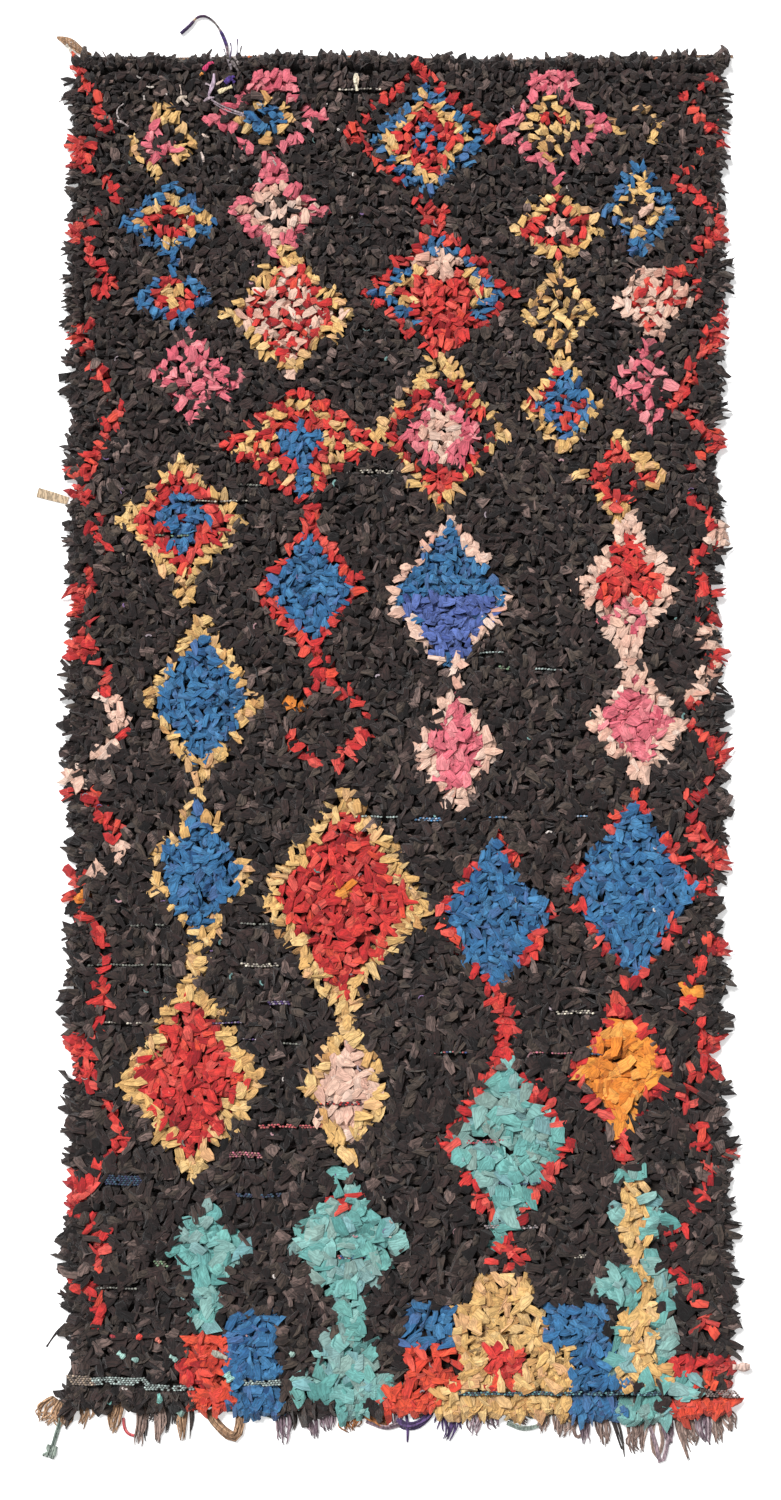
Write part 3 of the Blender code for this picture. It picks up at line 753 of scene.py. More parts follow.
def new_piece(name: str, points: Array, faces: list[Array], material: bpy.types.Material,
              smooth: bool = False) -> bpy.types.Object:
    """Make a mesh object at the origin from whole arrays.

    Args:
        name: The piece's name.
        points: Corner places, any shape that ends in three.
        faces: Arrays of point numbers, each with its own count to a face.
        material: The piece's finish.
        smooth: Whether its faces shade smoothly.

    Returns:
        The new object, linked to the scene.
    """
    mesh = bpy.data.meshes.new(name)
    flat_points = np.ascontiguousarray(points.reshape(-1, 3), dtype=np.float32)
    loops = np.concatenate([part.ravel() for part in faces]).astype(np.int32)
    sizes = np.concatenate([np.full(len(part), part.shape[1]) for part in faces])
    starts = np.concatenate(([0], np.cumsum(sizes)[:-1])).astype(np.int32)
    mesh.vertices.add(len(flat_points))
    mesh.vertices.foreach_set("co", flat_points.ravel())
    mesh.loops.add(len(loops))
    mesh.loops.foreach_set("vertex_index", loops)
    mesh.polygons.add(len(starts))
    mesh.polygons.foreach_set("loop_start", starts)
    mesh.polygons.foreach_set("use_smooth", np.full(len(starts), smooth))
    mesh.update(calc_edges=True)
    mesh.materials.append(material)
    piece = bpy.data.objects.new(name, mesh)
    bpy.context.scene.collection.objects.link(piece)
    return piece


def add_floats(piece: bpy.types.Object, name: str, values: Array) -> None:
    """Store one number for each point of a piece."""
    layer = piece.data.attributes.new(name, "FLOAT", "POINT")
    layer.data.foreach_set("value", np.ascontiguousarray(values.ravel(), dtype=np.float32))


def add_vectors(piece: bpy.types.Object, name: str, values: Array) -> None:
    """Store one vector for each point of a piece."""
    layer = piece.data.attributes.new(name, "FLOAT_VECTOR", "POINT")
    layer.data.foreach_set("vector", np.ascontiguousarray(values.reshape(-1), dtype=np.float32))


def add_dye(piece: bpy.types.Object, colours: Array) -> None:
    """Store one linear colour for each point of a piece, under the name dye."""
    layer = piece.data.attributes.new("dye", "FLOAT_COLOR", "POINT")
    layer.data.foreach_set("color", np.ascontiguousarray(colours.reshape(-1), dtype=np.float32))


def add_atlas(piece: bpy.types.Object, places: Array) -> None:
    """Store the piece's own map, one place for each face corner."""
    layer = piece.data.uv_layers.new(name="OFBake")
    layer.uv.foreach_set("vector", np.ascontiguousarray(places.ravel(), dtype=np.float32))


def seat(piece: bpy.types.Object, node: str) -> None:
    """Ride a piece on the rug's one body and let it stand for a CAD node."""
    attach(piece, "root")
    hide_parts(node)


def dress(piece: bpy.types.Object, dyes: Array, places: Array,
          fold: Array | float = 1.0) -> None:
    """Store the dye, the fold share and the cloth place of each point of a piece.

    Args:
        piece: The piece.
        dyes: Linear colours.
        places: Places on the cloth, any shape that ends in three.
        fold: Painted shade, as shares of the light that reach it, in a shape that spreads over the places.
    """
    add_dye(piece, dyes)
    add_floats(piece, "fold", np.broadcast_to(fold, places.shape[:-1]))
    add_vectors(piece, "cloth", places)


def tube_piece(name: str, paths: Array, radii: Array, sides: int, material: bpy.types.Material,
               dyes: Array, fold: Array | float = 1.0, flat: float = 1.0,
               smooth: bool = True) -> bpy.types.Object:
    """Make a dressed piece of closed tubes, none of them below the floor.

    Args:
        name: The piece's name.
        paths: Middle lines, as tubes by steps by three.
        radii: Radius at each step of each tube.
        sides: How many points a ring has.
        material: The piece's finish.
        dyes: Linear colours, one for each tube or one for each step of each.
        fold: Painted shade, as the share of light that reaches it, one number or one for each step.
        flat: How much lower than wide the section is.
        smooth: Whether its faces shade smoothly.

    Returns:
        The piece.
    """
    points = tube_points(paths, radii, sides, flat)
    points[..., 2] = np.maximum(points[..., 2], FLOOR_REST)
    piece = new_piece(name, points, tube_faces(len(paths), paths.shape[1], sides), material, smooth)
    dyes = np.broadcast_to(dyes.reshape(len(paths), -1, 1, 4), (*points.shape[:3], 4))
    dress(piece, dyes, points, np.reshape(fold, (-1, 1)))
    return piece


def report(piece: bpy.types.Object) -> None:
    """Log a finished piece and the number of triangles that its faces come to."""
    sizes = np.empty(len(piece.data.polygons), dtype=np.int32)
    piece.data.polygons.foreach_get("loop_total", sizes)
    LOG.info("%s: %d triangles", piece.name, (sizes - 2).sum())


class NodeSketch:
    """Adds nodes to one tree and links them."""

    def __init__(self, tree: bpy.types.NodeTree) -> None:
        """Start on a tree that has no nodes yet."""
        self.tree = tree
        tree.nodes.clear()

    def add(self, kind: str, **settings: object) -> bpy.types.Node:
        """Add a node of one kind and give it its settings."""
        node = self.tree.nodes.new(kind)
        for name, value in settings.items():
            setattr(node, name, value)
        return node

    def feed(self, socket: bpy.types.NodeSocket, value: object) -> None:
        """Link a socket to another, or set it to a plain value."""
        if isinstance(value, bpy.types.NodeSocket):
            self.tree.links.new(value, socket)
        else:
            socket.default_value = value

    def math(self, operation: str, first: object, second: object = 0.0) -> bpy.types.NodeSocket:
        """Add a Math node on two values and return its result."""
        node = self.add("ShaderNodeMath", operation=operation)
        self.feed(node.inputs[0], first)
        self.feed(node.inputs[1], second)
        return node.outputs[0]

    def between(self, value: object, low: float, high: float) -> bpy.types.NodeSocket:
        """Spread a share of 0 to 1 over a range."""
        return self.math("ADD", self.math("MULTIPLY", value, high - low), low)

    def noise(self, vector: object, scale: float, detail: float = 2.0) -> bpy.types.NodeSocket:
        """Add a Noise Texture and return its grey value."""
        node = self.add("ShaderNodeTexNoise")
        self.feed(node.inputs["Vector"], vector)
        node.inputs["Scale"].default_value = scale
        node.inputs["Detail"].default_value = detail
        return node.outputs[0]

    def scaled(self, colour: object, amount: object) -> bpy.types.NodeSocket:
        """Multiply a colour by one number."""
        node = self.add("ShaderNodeVectorMath", operation="SCALE")
        self.feed(node.inputs[0], colour)
        self.feed(node.inputs["Scale"], amount)
        return node.outputs[0]


def new_group(name: str, inputs: tuple[tuple[str, str], ...],
              outputs: tuple[tuple[str, str], ...]) -> tuple[bpy.types.NodeTree, NodeSketch, dict, dict]:
    """Start a shader node group with named sockets.

    Args:
        name: The group's name.
        inputs: Name and socket kind of each input.
        outputs: Name and socket kind of each output.

    Returns:
        The group, its sketch, the sockets that bring values in and those that take results.
    """
    group = bpy.data.node_groups.new(name, "ShaderNodeTree")
    sketch = NodeSketch(group)
    for label, kind in inputs:
        group.interface.new_socket(label, in_out="INPUT", socket_type=kind)
    for label, kind in outputs:
        group.interface.new_socket(label, in_out="OUTPUT", socket_type=kind)
    given = sketch.add("NodeGroupInput")
    result = sketch.add("NodeGroupOutput")
    return group, sketch, dict(given.outputs.items()), dict(result.inputs.items())


STRETCH = (1.0, 0.3, 1.0)
CREASE_SCALE = 150.0
THREAD_SCALE = 900.0
PATCH_SCALE = 4.0
VEIN_SLOPE = 11.0
# Painted shade: the fold share of light is spread over this range, and crease veins take up to the crease
# depth off the crest value.
FOLD_SHADE = (0.35, 1.08)
CREST_SHADE = 1.06
PATCH_SHADE = (0.86, 1.14)
THREAD_SHADE = (0.94, 1.06)
THREAD_RELIEF = 0.2
RAG_BUMP = 0.0022
YARN_BUMP = 0.0015
YARN_CREASE = 0.6


def rag_cloth_group() -> bpy.types.NodeTree:
    """Build the cloth of a torn rag.

    Creases are dark veins of painted shade, with a matching relief, where noise drawn out along the strip is
    near its middle value: the vein slope times |n - 0.5|, cut off at one.  The thread is fine noise.  Painted
    shade falls towards the knot, and the tone drifts a little over the rug.

    Returns:
        A group that turns a dye, a painted-shade share and a place on the strip into colour, roughness and
        height.
    """
    group, sketch, given, result = new_group(
        "RagCloth",
        (("Dye", "NodeSocketColor"), ("Fold", "NodeSocketFloat"), ("Cloth", "NodeSocketVector"),
         ("Crease", "NodeSocketFloat")),
        (("Colour", "NodeSocketColor"), ("Roughness", "NodeSocketFloat"), ("Height", "NodeSocketFloat")))
    stretch = sketch.add("ShaderNodeMapping")
    stretch.inputs["Scale"].default_value = STRETCH
    sketch.feed(stretch.inputs["Vector"], given["Cloth"])
    crease = sketch.noise(stretch.outputs[0], CREASE_SCALE, 3.0)
    off_middle = sketch.math("ABSOLUTE", sketch.math("SUBTRACT", crease, 0.5))
    vein = sketch.math("MINIMUM", sketch.math("MULTIPLY", off_middle, VEIN_SLOPE), 1.0)
    place = sketch.add("ShaderNodeTexCoord").outputs["Object"]
    thread = sketch.noise(place, THREAD_SCALE, 1.0)
    patch = sketch.noise(place, PATCH_SCALE, 2.0)
    # Painted shade: the crease veins darken the colour by up to the crease depth.
    folded = sketch.math("MULTIPLY", sketch.math("SUBTRACT", 1.0, vein), given["Crease"])
    shade = sketch.between(given["Fold"], *FOLD_SHADE)
    shade = sketch.math("MULTIPLY", shade, sketch.math("SUBTRACT", CREST_SHADE, folded))
    shade = sketch.math("MULTIPLY", shade, sketch.between(patch, *PATCH_SHADE))
    shade = sketch.math("MULTIPLY", shade, sketch.between(thread, *THREAD_SHADE))
    sketch.feed(result["Colour"], sketch.scaled(given["Dye"], shade))
    sketch.feed(result["Roughness"], sketch.between(thread, ROUGH_CLOTH - 0.08, ROUGH_CLOTH + 0.08))
    relief = sketch.math("MULTIPLY", vein, given["Crease"])
    sketch.feed(result["Height"], sketch.math("ADD", relief, sketch.math("MULTIPLY", thread, THREAD_RELIEF)))
    return group


def cloth_shader(name: str, bump: float) -> tuple[bpy.types.Material, NodeSketch, bpy.types.Node,
                                                  bpy.types.Node]:
    """Start a matt cloth material with a Principled shader and a Bump node.

    Args:
        name: The material's name.
        bump: How far its relief stands, in metres.

    Returns:
        The material, its sketch, the shader and the bump node.
    """
    material = bpy.data.materials.new(name)
    material.use_nodes = True
    sketch = NodeSketch(material.node_tree)
    shader = sketch.add("ShaderNodeBsdfPrincipled")
    output = sketch.add("ShaderNodeOutputMaterial")
    relief = sketch.add("ShaderNodeBump")
    relief.inputs["Strength"].default_value = 0.8
    relief.inputs["Distance"].default_value = bump
    shader.inputs["Specular IOR Level"].default_value = 0.25
    shader.inputs["Sheen Weight"].default_value = 0.15
    shader.inputs["Sheen Roughness"].default_value = 0.6
    sketch.feed(output.inputs["Surface"], shader.outputs[0])
    sketch.feed(shader.inputs["Normal"], relief.outputs[0])
    return material, sketch, shader, relief


def attribute(sketch: NodeSketch, name: str, output: str) -> bpy.types.NodeSocket:
    """Read one of the piece's own attributes."""
    node = sketch.add("ShaderNodeAttribute", attribute_name=name)
    return node.outputs[output]


def place_cloth(sketch: NodeSketch, group: bpy.types.NodeTree, dye: object, shader: bpy.types.Node,
                relief: bpy.types.Node, crease: float) -> None:
    """Put the cloth group between a dye and a shader.

    Args:
        sketch: The material's sketch.
        group: The shared cloth group.
        dye: The colour socket that it starts from.
        shader: The Principled shader that it feeds.
        relief: The Bump node that it feeds.
        crease: How deep the creases are.
    """
    cloth = sketch.add("ShaderNodeGroup", node_tree=group)
    sketch.feed(cloth.inputs["Dye"], dye)
    # The fold attribute carries painted shade: the share of light taken to reach each point.
    sketch.feed(cloth.inputs["Fold"], attribute(sketch, "fold", "Fac"))
    sketch.feed(cloth.inputs["Cloth"], attribute(sketch, "cloth", "Vector"))
    cloth.inputs["Crease"].default_value = crease
    sketch.feed(shader.inputs["Base Color"], cloth.outputs["Colour"])
    sketch.feed(shader.inputs["Roughness"], cloth.outputs["Roughness"])
    sketch.feed(relief.inputs["Height"], cloth.outputs["Height"])


def rag_material(rag: Rag, group: bpy.types.NodeTree) -> bpy.types.Material:
    """Build the cloth of one colour, whose tone changes from strip to strip.

    Args:
        rag: The colour.
        group: The shared cloth group.

    Returns:
        The material.
    """
    finish = FINISHES[rag]
    material, sketch, shader, relief = cloth_shader(finish.slot, RAG_BUMP)
    ramp = sketch.add("ShaderNodeValToRGB")
    sketch.feed(ramp.inputs[0], attribute(sketch, "tone", "Fac"))
    stops = ramp.color_ramp.elements
    for number, tone in enumerate(finish.tones):
        share = number / (len(finish.tones) - 1)
        stop = stops[number] if number < 2 else stops.new(share)
        stop.position = share
        stop.color = linear(np.array(tone)).tolist()
    place_cloth(sketch, group, ramp.outputs["Color"], shader, relief, finish.crease)
    return material


def dyed_material(name: str, group: bpy.types.NodeTree) -> bpy.types.Material:
    """Build a cloth whose colour is the piece's own dye attribute."""
    material, sketch, shader, relief = cloth_shader(name, YARN_BUMP)
    place_cloth(sketch, group, attribute(sketch, "dye", "Color"), shader, relief, YARN_CREASE)
    return material


@dataclass
class RagPile:
    """The knotted rag strips, one piece for each colour and four for the charcoal ground."""

    outline: FieldOutline
    knots: Knots
    rags: Array
    flare: Array
    group: bpy.types.NodeTree
    top_height: float = 0.026
    top_spread: float = 0.005
    tip_drop: Span = (-0.004, 0.013)
    scatter: float = 0.0045
    rim_top: float = 0.0165
    rim_tip: float = 0.004
    end_tip: float = 0.009
    end_lift: float = 0.005
    end_zone: float = 0.04
    parting: float = 0.009
    thinning: float = 1.5
    flare_share: float = 0.6
    flare_stray: float = 0.6
    top_stray: float = 0.5
    bottom_stray: float = 0.45
    rim_stray: float = 0.5
    parting_stray: float = 0.5
    parting_clear: float = 0.002
    lock_stray: float = 0.12
    lock_turn: float = 1.3
    lock_reach: float = 0.026
    lock_trim: Span = (0.7, 1.1)
    lock_width: float = 0.95
    rim_width: float = 1.12
    lock_point: float = 0.75
    rim_point: float = 0.55
    rim_top_drop: float = 0.006
    rim_tip_drop: float = 0.007
    end_reach: Span = (0.75, 1.28)
    back_parted: float = 0.22
    back_lock: float = 0.12
    back_rim: float = 0.3
    back_field: float = 0.62
    charcoal_parts: int = 4

    # Painted shade of a strip: darker towards its knot (LIGHT_OUT), along its two edges (LIGHT_WIDE), and
    # down to LIGHT_LOW where it stands low in the pile.
    LIGHT_OUT = np.array([0.0, 0.7, 0.95, 1.0])[:, None]
    LIGHT_WIDE = np.array([0.8, 1.0, 0.8])
    LIGHT_LOW = 0.6
    CLOTH_OUT = np.array([0.0, 0.4, 0.7, 1.1])[:, None]
    CLOTH_WIDE = np.array([-0.5, 0.0, 0.5])
    CLOTH_APART = 3.0

    def build(self) -> list[bpy.types.Object]:
        """Knot every colour.

        Returns:
            The pieces.
        """
        pieces = []
        for rag in Rag:
            mine = np.flatnonzero(self.rags == rag.value)
            parts = np.array_split(mine, self.charcoal_parts) if rag is BLACK else [mine]
            material = rag_material(rag, self.group)
            for number, part in enumerate(parts):
                name = f"pile_{rag.name.lower()}" + (f"_{number + 1}" if len(parts) > 1 else "")
                rng = np.random.default_rng((SEED, rag.value, number))
                pieces.append(self.knot(name, part, FINISHES[rag], material, rng))
        return pieces

    def knot(self, name: str, part: Array, finish: RagFinish, material: bpy.types.Material,
             rng: Rng) -> bpy.types.Object:
        """Make one piece of the pile from some of the knots.

        Args:
            name: The piece's name.
            part: The numbers of its knots.
            finish: How its rags are cut.
            material: Its finish.
            rng: Where its random values come from.

        Returns:
            The piece.
        """
        strips = self.lay_strips(part, finish, rng)
        count = len(strips.across)
        piece = new_piece(name, strips.points(rng), strip_faces(count), material)
        # The fold attribute holds painted shade: lower strips, the part near the knot and the edges are
        # darker, and the charcoal is darker towards the bottom of the rug, where the rags are coarse.
        above = (strips.top - self.top_height - finish.rise) / (4.0 * self.top_spread)
        level = np.clip(0.5 + above, 0.0, 1.0)
        coarse = np.maximum(coarseness(strips.along) - 1.0, 0.0)
        light = (self.LIGHT_LOW + (1.0 - self.LIGHT_LOW) * level) * (1.0 - finish.deepen * coarse)
        add_floats(piece, "fold", self.LIGHT_OUT * self.LIGHT_WIDE * light[:, None, None])
        add_floats(piece, "tone", np.broadcast_to(rng.random(count)[:, None, None], (count, 4, 3)))
        cloth = np.zeros((count, 4, 3, 3))
        cloth[..., 0] = strips.width[:, None, None] * self.CLOTH_WIDE
        cloth[..., 1] = strips.reach[:, None, None] * self.CLOTH_OUT
        cloth[..., 2] = self.CLOTH_APART * rng.random(count)[:, None, None]
        add_vectors(piece, "cloth", cloth)
        add_atlas(piece, strip_atlas(count))
        seat(piece, "rag_pile")
        return piece

    def lay_strips(self, part: Array, finish: RagFinish, rng: Rng) -> Strips:
        """Decide how each strip of some knots lies.

        A strip lies a share of its reach back over its knot.  At the sides it leans out over the selvedge
        and droops, at the top it points up, over the tassels it points down, at the edge of a lozenge it
        flares outwards, and elsewhere it lies anyhow.  Where the strips are larger there are fewer of them.

        Args:
            part: The numbers of the knots.
            finish: How their rags are cut.
            rng: Where the random values come from.

        Returns:
            The strips.
        """
        copies = finish.strips + (self.knots.lock[part] > 0.0).astype(int)
        number = np.repeat(part, copies)
        thinned = rng.random(len(number)) * coarseness(self.knots.along[number]) ** self.thinning
        number = number[(thinned < 1.0) | np.isfinite(self.knots.lean[number])]
        count = len(number)
        across = self.knots.across[number] + rng.normal(0.0, self.scatter, count)
        along = self.knots.along[number] + rng.normal(0.0, self.scatter, count)
        heading = rng.uniform(-np.pi, np.pi, count)
        reach = rng.uniform(*finish.reach, count)
        width = rng.uniform(*finish.width, count)
        coarse = coarseness(along)
        reach *= coarse
        width *= coarse
        top = self.top_height + finish.rise + rng.normal(0.0, self.top_spread, count)
        tip = top - rng.uniform(*self.tip_drop, count)
        flare = self.flare[number]
        flared = np.isfinite(flare) & (rng.random(count) < self.flare_share)
        heading[flared] = flare[flared] + rng.normal(0.0, self.flare_stray, flared.sum())
        near_top = self.outline.top(across) - along < self.end_zone
        near_bottom = along - self.outline.bottom(across) < self.end_zone
        heading[near_top] = np.pi / 2 + rng.normal(0.0, self.top_stray, near_top.sum())
        heading[near_bottom] = -np.pi / 2 + rng.normal(0.0, self.bottom_stray, near_bottom.sum())
        lean = self.knots.lean[number]
        lock = self.knots.lock[number]
        rim = np.isfinite(lean)
        in_lock = lock > 0.0
        at_side = rim & (np.abs(np.cos(np.where(rim, lean, np.pi / 2))) > 0.5)
        heading[rim] = lean[rim] + rng.normal(0.0, self.rim_stray, rim.sum())
        turn = self.lock_turn * (self.knots.chance[number] - 0.5)
        heading[in_lock] = lean[in_lock] + turn[in_lock] + rng.normal(0.0, self.lock_stray, in_lock.sum())
        trim = rng.uniform(*self.lock_trim, in_lock.sum())
        reach[in_lock] = self.lock_reach + (coarse * lock)[in_lock] * trim
        width[rim] *= np.where(in_lock, self.lock_width, self.rim_width)[rim]
        drop = rng.uniform(0.0, 1.0, count)
        top[rim] = self.rim_top + 0.5 * finish.rise + self.rim_top_drop * drop[rim]
        at_end = rim & ~at_side
        top[at_end] += self.end_lift
        reach[at_end] *= rng.uniform(*self.end_reach, at_end.sum())
        tip[rim] = np.where(at_side[rim], self.rim_tip, self.end_tip) + self.rim_tip_drop * drop[rim]
        parted = np.zeros(count, dtype=bool)
        for weft in BARE_WEFTS:
            half = 0.5 * weft.rows * WEFT_ROW
            rise = along - (weft.along * CM - half)
            near = (across > weft.left * CM) & (across < weft.right * CM)
            near &= np.abs(rise) < half + self.parting
            way = np.where(rise[near] > 0.0, 1.0, -1.0)
            heading[near] = way * np.pi / 2 + rng.normal(0.0, self.parting_stray, near.sum())
            along[near] += way * np.maximum(half + self.parting_clear - np.abs(rise[near]), 0.0)
            parted |= near
        back = np.where(in_lock, self.back_lock, np.where(rim, self.back_rim, self.back_field))
        back = np.where(parted, self.back_parted, back) * reach
        across -= np.cos(heading) * back
        along -= np.sin(heading) * back
        roll = rng.uniform(-finish.roll, finish.roll, count)
        point = np.where(in_lock, self.lock_point, np.where(rim, self.rim_point, finish.point))
        return Strips(across, along, heading, reach, width, top, tip, roll, point, finish.fold)


@dataclass
class GroundWeave:
    """The woven ground: a thin sheet with weft ribs below and knot rows above."""

    outline: FieldOutline
    chart: PatternChart
    material: bpy.types.Material
    columns: int = 40
    rows: int = 472
    inset: float = 0.002
    side_insets: Span = (0.026, 0.04)
    under: float = 0.0009
    over: float = 0.0036
    rib: float = 0.0006
    rib_above: float = 0.3
    rib_pitch: float = 0.012
    wool: tuple[float, float, float] = (74.0, 62.0, 56.0)
    # The upper face lies under the pile: its wool is darkened by this share of painted shade.
    wool_shade: float = 0.6
    wool_share: float = 0.35

    def build(self) -> bpy.types.Object:
        """Make the sheet: a grid between the four edges, its two faces joined round the rim.

        Its ribs follow |sin| of the place along the rug: they hang below the lower face and stand a little
        over the upper one.  The upper points are wool in painted shade; the lower ones lean to the colour
        knotted there.

        Returns:
            The piece.
        """
        share_across, share_along = np.meshgrid(np.linspace(0, 1, self.columns + 1),
                                                np.linspace(0, 1, self.rows + 1))
        along = -FIELD_LENGTH / 2 + share_along * FIELD_LENGTH
        left = self.outline.left(along) + self.side_insets[0]
        right = self.outline.right(along) - self.side_insets[1]
        across = left + share_across * (right - left)
        low = self.outline.bottom(across) + self.inset
        high = self.outline.top(across) - self.inset
        along = low + share_along * (high - low)
        wave = np.abs(np.sin(np.pi * along / self.rib_pitch))
        lower = np.stack([across, along, self.under - self.rib * wave], axis=-1)
        upper = np.stack([across, along, self.over + self.rib_above * self.rib * wave], axis=-1)
        points = np.concatenate([upper.reshape(-1, 3), lower.reshape(-1, 3)])
        faces = slab_faces(self.rows + 1, self.columns + 1)
        piece = new_piece("ground_weave", points, faces, self.material, True)
        knots = Knots(across.ravel(), along.ravel(), np.floor(across.ravel() / KNOT_WIDTH).astype(int),
                      np.floor(along.ravel() / KNOT_ROW).astype(int), np.zeros(across.size),
                      np.full(across.size, np.nan), np.zeros(across.size))
        rags, _ = self.chart.read(knots)
        tones = np.array([FINISHES[rag].tones[1] for rag in Rag], dtype=float)
        wool = np.array(self.wool)
        # Painted shade: the upper face, under the pile, is the wool colour darkened by a share.
        upper_tone = np.broadcast_to(wool * self.wool_shade, (across.size, 3))
        lower_tone = self.wool_share * wool + (1.0 - self.wool_share) * tones[rags]
        dress(piece, linear(np.concatenate([upper_tone, lower_tone])), points[:, [1, 0, 2]])
        seat(piece, "rag_pile")
        return piece


def smooth_route(points: Array, count: int) -> Array:
    """Read evenly spaced points from the smooth curve through a route's own points.

    Between two points p1 and p2 the curve is (2 p1 + (p2 - p0) t + (2 p0 - 5 p1 + 4 p2 - p3) t^2
    + (3 p1 - p0 - 3 p2 + p3) t^3) / 2, where p0 and p3 are the points before and after them.

    Args:
        points: The route's own points, one to a row.
        count: How many points to read.

    Returns:
        The points.
    """
    ends = np.vstack((2 * points[0] - points[1], points, 2 * points[-1] - points[-2]))
    before, start, stop, after = (ends[k:len(ends) - 3 + k, None] for k in range(4))
    t = np.linspace(0.0, 1.0, 20, endpoint=False)[None, :, None]
    curve = 0.5 * (2 * start + (stop - before) * t + (2 * before - 5 * start + 4 * stop - after) * t ** 2
                   + (3 * start - before - 3 * stop + after) * t ** 3)
    curve = np.vstack((curve.reshape(-1, points.shape[1]), points[-1]))
    travelled = np.concatenate(([0.0], np.cumsum(np.linalg.norm(np.diff(curve, axis=0), axis=1))))
    wanted = np.linspace(0.0, travelled[-1], count)
    return np.stack([np.interp(wanted, travelled, curve[:, axis]) for axis in range(points.shape[1])], axis=1)


def sideways(route: Array) -> Array:
    """The level unit vector across a route at each of its points, to the left of its way."""
    ahead = np.gradient(route[:, :2], axis=0)
    ahead /= np.linalg.norm(ahead, axis=1, keepdims=True)
    return np.stack([-ahead[:, 1], ahead[:, 0]], axis=1)


class Yarn(Enum):
    """The yarns of the tassels and bands, each with a light and a dark display tone."""

    TAN = ((196, 158, 124), (138, 104, 78))
    TAUPE = ((180, 154, 142), (116, 94, 86))
    LILAC = ((176, 154, 160), (106, 86, 98))
    PURPLE = ((96, 72, 122), (50, 34, 74))
    GREY_GREEN = ((166, 178, 166), (110, 124, 116))
    DARK = ((84, 74, 68), (48, 40, 38))
    PINK = ((214, 110, 112), (170, 60, 66))
    RUST = ((196, 124, 66), (112, 72, 44))
    WEFT = ((176, 200, 190), (128, 146, 138))


TAN, TAUPE, LILAC, PURPLE, GREY_GREEN, DARK, PINK, RUST, WEFT = Yarn


def yarn_dye(yarn: Yarn, count: int, rng: Rng) -> Array:
    """Mix a yarn's two tones in a random share for each strand.

    Args:
        yarn: Which yarn.
        count: How many strands.
        rng: Where the shares come from.

    Returns:
        One linear colour for each strand.
    """
    light, dark = (np.array(tone, dtype=float) for tone in yarn.value)
    share = rng.random(count)[:, None]
    return linear(light * share + dark * (1.0 - share))


@dataclass(frozen=True)
class Tassel:
    """A bundle of warp ends: where it leaves the edge, and where and how far past the edge its tip lies."""

    root: float
    tip: float
    past: float
    width: float
    strands: int
    yarn: Yarn
    knotted: bool = False


TASSELS = tuple(Tassel(*row) for row in (
    (-0.717, -0.749, 0.025, 0.046, 16, TAN),
    (-0.702, -0.708, 0.032, 0.04, 14, TAN),
    (-0.69, -0.7, 0.042, 0.014, 5, DARK, True),
    (-0.66, -0.669, 0.035, 0.014, 6, TAN),
    (-0.644, -0.648, 0.021, 0.012, 5, TAN),
    (-0.589, -0.602, 0.048, 0.024, 14, TAN),
    (-0.541, -0.549, 0.069, 0.018, 12, TAUPE),
    (-0.534, -0.533, 0.06, 0.01, 4, DARK),
    (-0.522, -0.52, 0.021, 0.024, 10, DARK, True),
    (-0.503, -0.507, 0.063, 0.018, 12, TAUPE),
    (-0.488, -0.49, 0.042, 0.009, 4, DARK),
    (-0.465, -0.469, 0.027, 0.014, 6, DARK),
    (-0.45, -0.456, 0.059, 0.018, 12, TAN),
    (-0.439, -0.439, 0.057, 0.006, 3, DARK),
    (-0.249, -0.243, 0.067, 0.024, 14, LILAC),
    (-0.226, -0.226, 0.04, 0.012, 6, DARK),
    (-0.194, -0.177, 0.055, 0.02, 12, LILAC),
    (-0.163, -0.148, 0.04, 0.028, 12, LILAC),
    (-0.11, -0.102, 0.04, 0.038, 16, RUST),
    (-0.07, -0.026, 0.034, 0.02, 12, RUST),
    (-0.009, -0.007, 0.032, 0.018, 8, LILAC),
    (0.012, 0.016, 0.084, 0.003, 2, PURPLE),
    (0.104, 0.1, 0.059, 0.024, 14, PURPLE),
    (0.112, 0.13, 0.04, 0.008, 3, PURPLE),
    (0.096, 0.076, 0.034, 0.008, 3, PURPLE),
    (0.156, 0.154, 0.048, 0.024, 12, LILAC),
    (0.192, 0.201, 0.034, 0.022, 10, LILAC),
    (0.188, 0.172, 0.026, 0.01, 4, LILAC),
    (0.226, 0.266, 0.025, 0.018, 10, TAUPE),
    (0.295, 0.299, 0.044, 0.02, 10, TAUPE),
    (0.343, 0.341, 0.052, 0.036, 18, TAUPE),
    (0.379, 0.39, 0.067, 0.018, 10, LILAC),
    (0.417, 0.43, 0.071, 0.022, 12, TAUPE),
    (0.444, 0.469, 0.092, 0.01, 5, DARK),
    (0.458, 0.484, 0.03, 0.008, 4, DARK),
    (0.501, 0.499, 0.086, 0.038, 20, TAUPE),
    (0.562, 0.568, 0.071, 0.016, 10, LILAC),
    (0.582, 0.608, 0.101, 0.01, 6, TAUPE),
    (0.604, 0.618, 0.069, 0.022, 12, TAUPE),
    (0.637, 0.643, 0.069, 0.022, 12, LILAC),
    (0.663, 0.671, 0.065, 0.022, 12, TAUPE),
    (0.676, 0.7, 0.038, 0.026, 12, TAUPE),
))


@dataclass(frozen=True)
class YarnLoop:
    """A loop of warp or a long loose end, through (across, past the nominal edge) places."""

    route: tuple[Span, ...]
    width: float
    strands: int
    yarn: Yarn


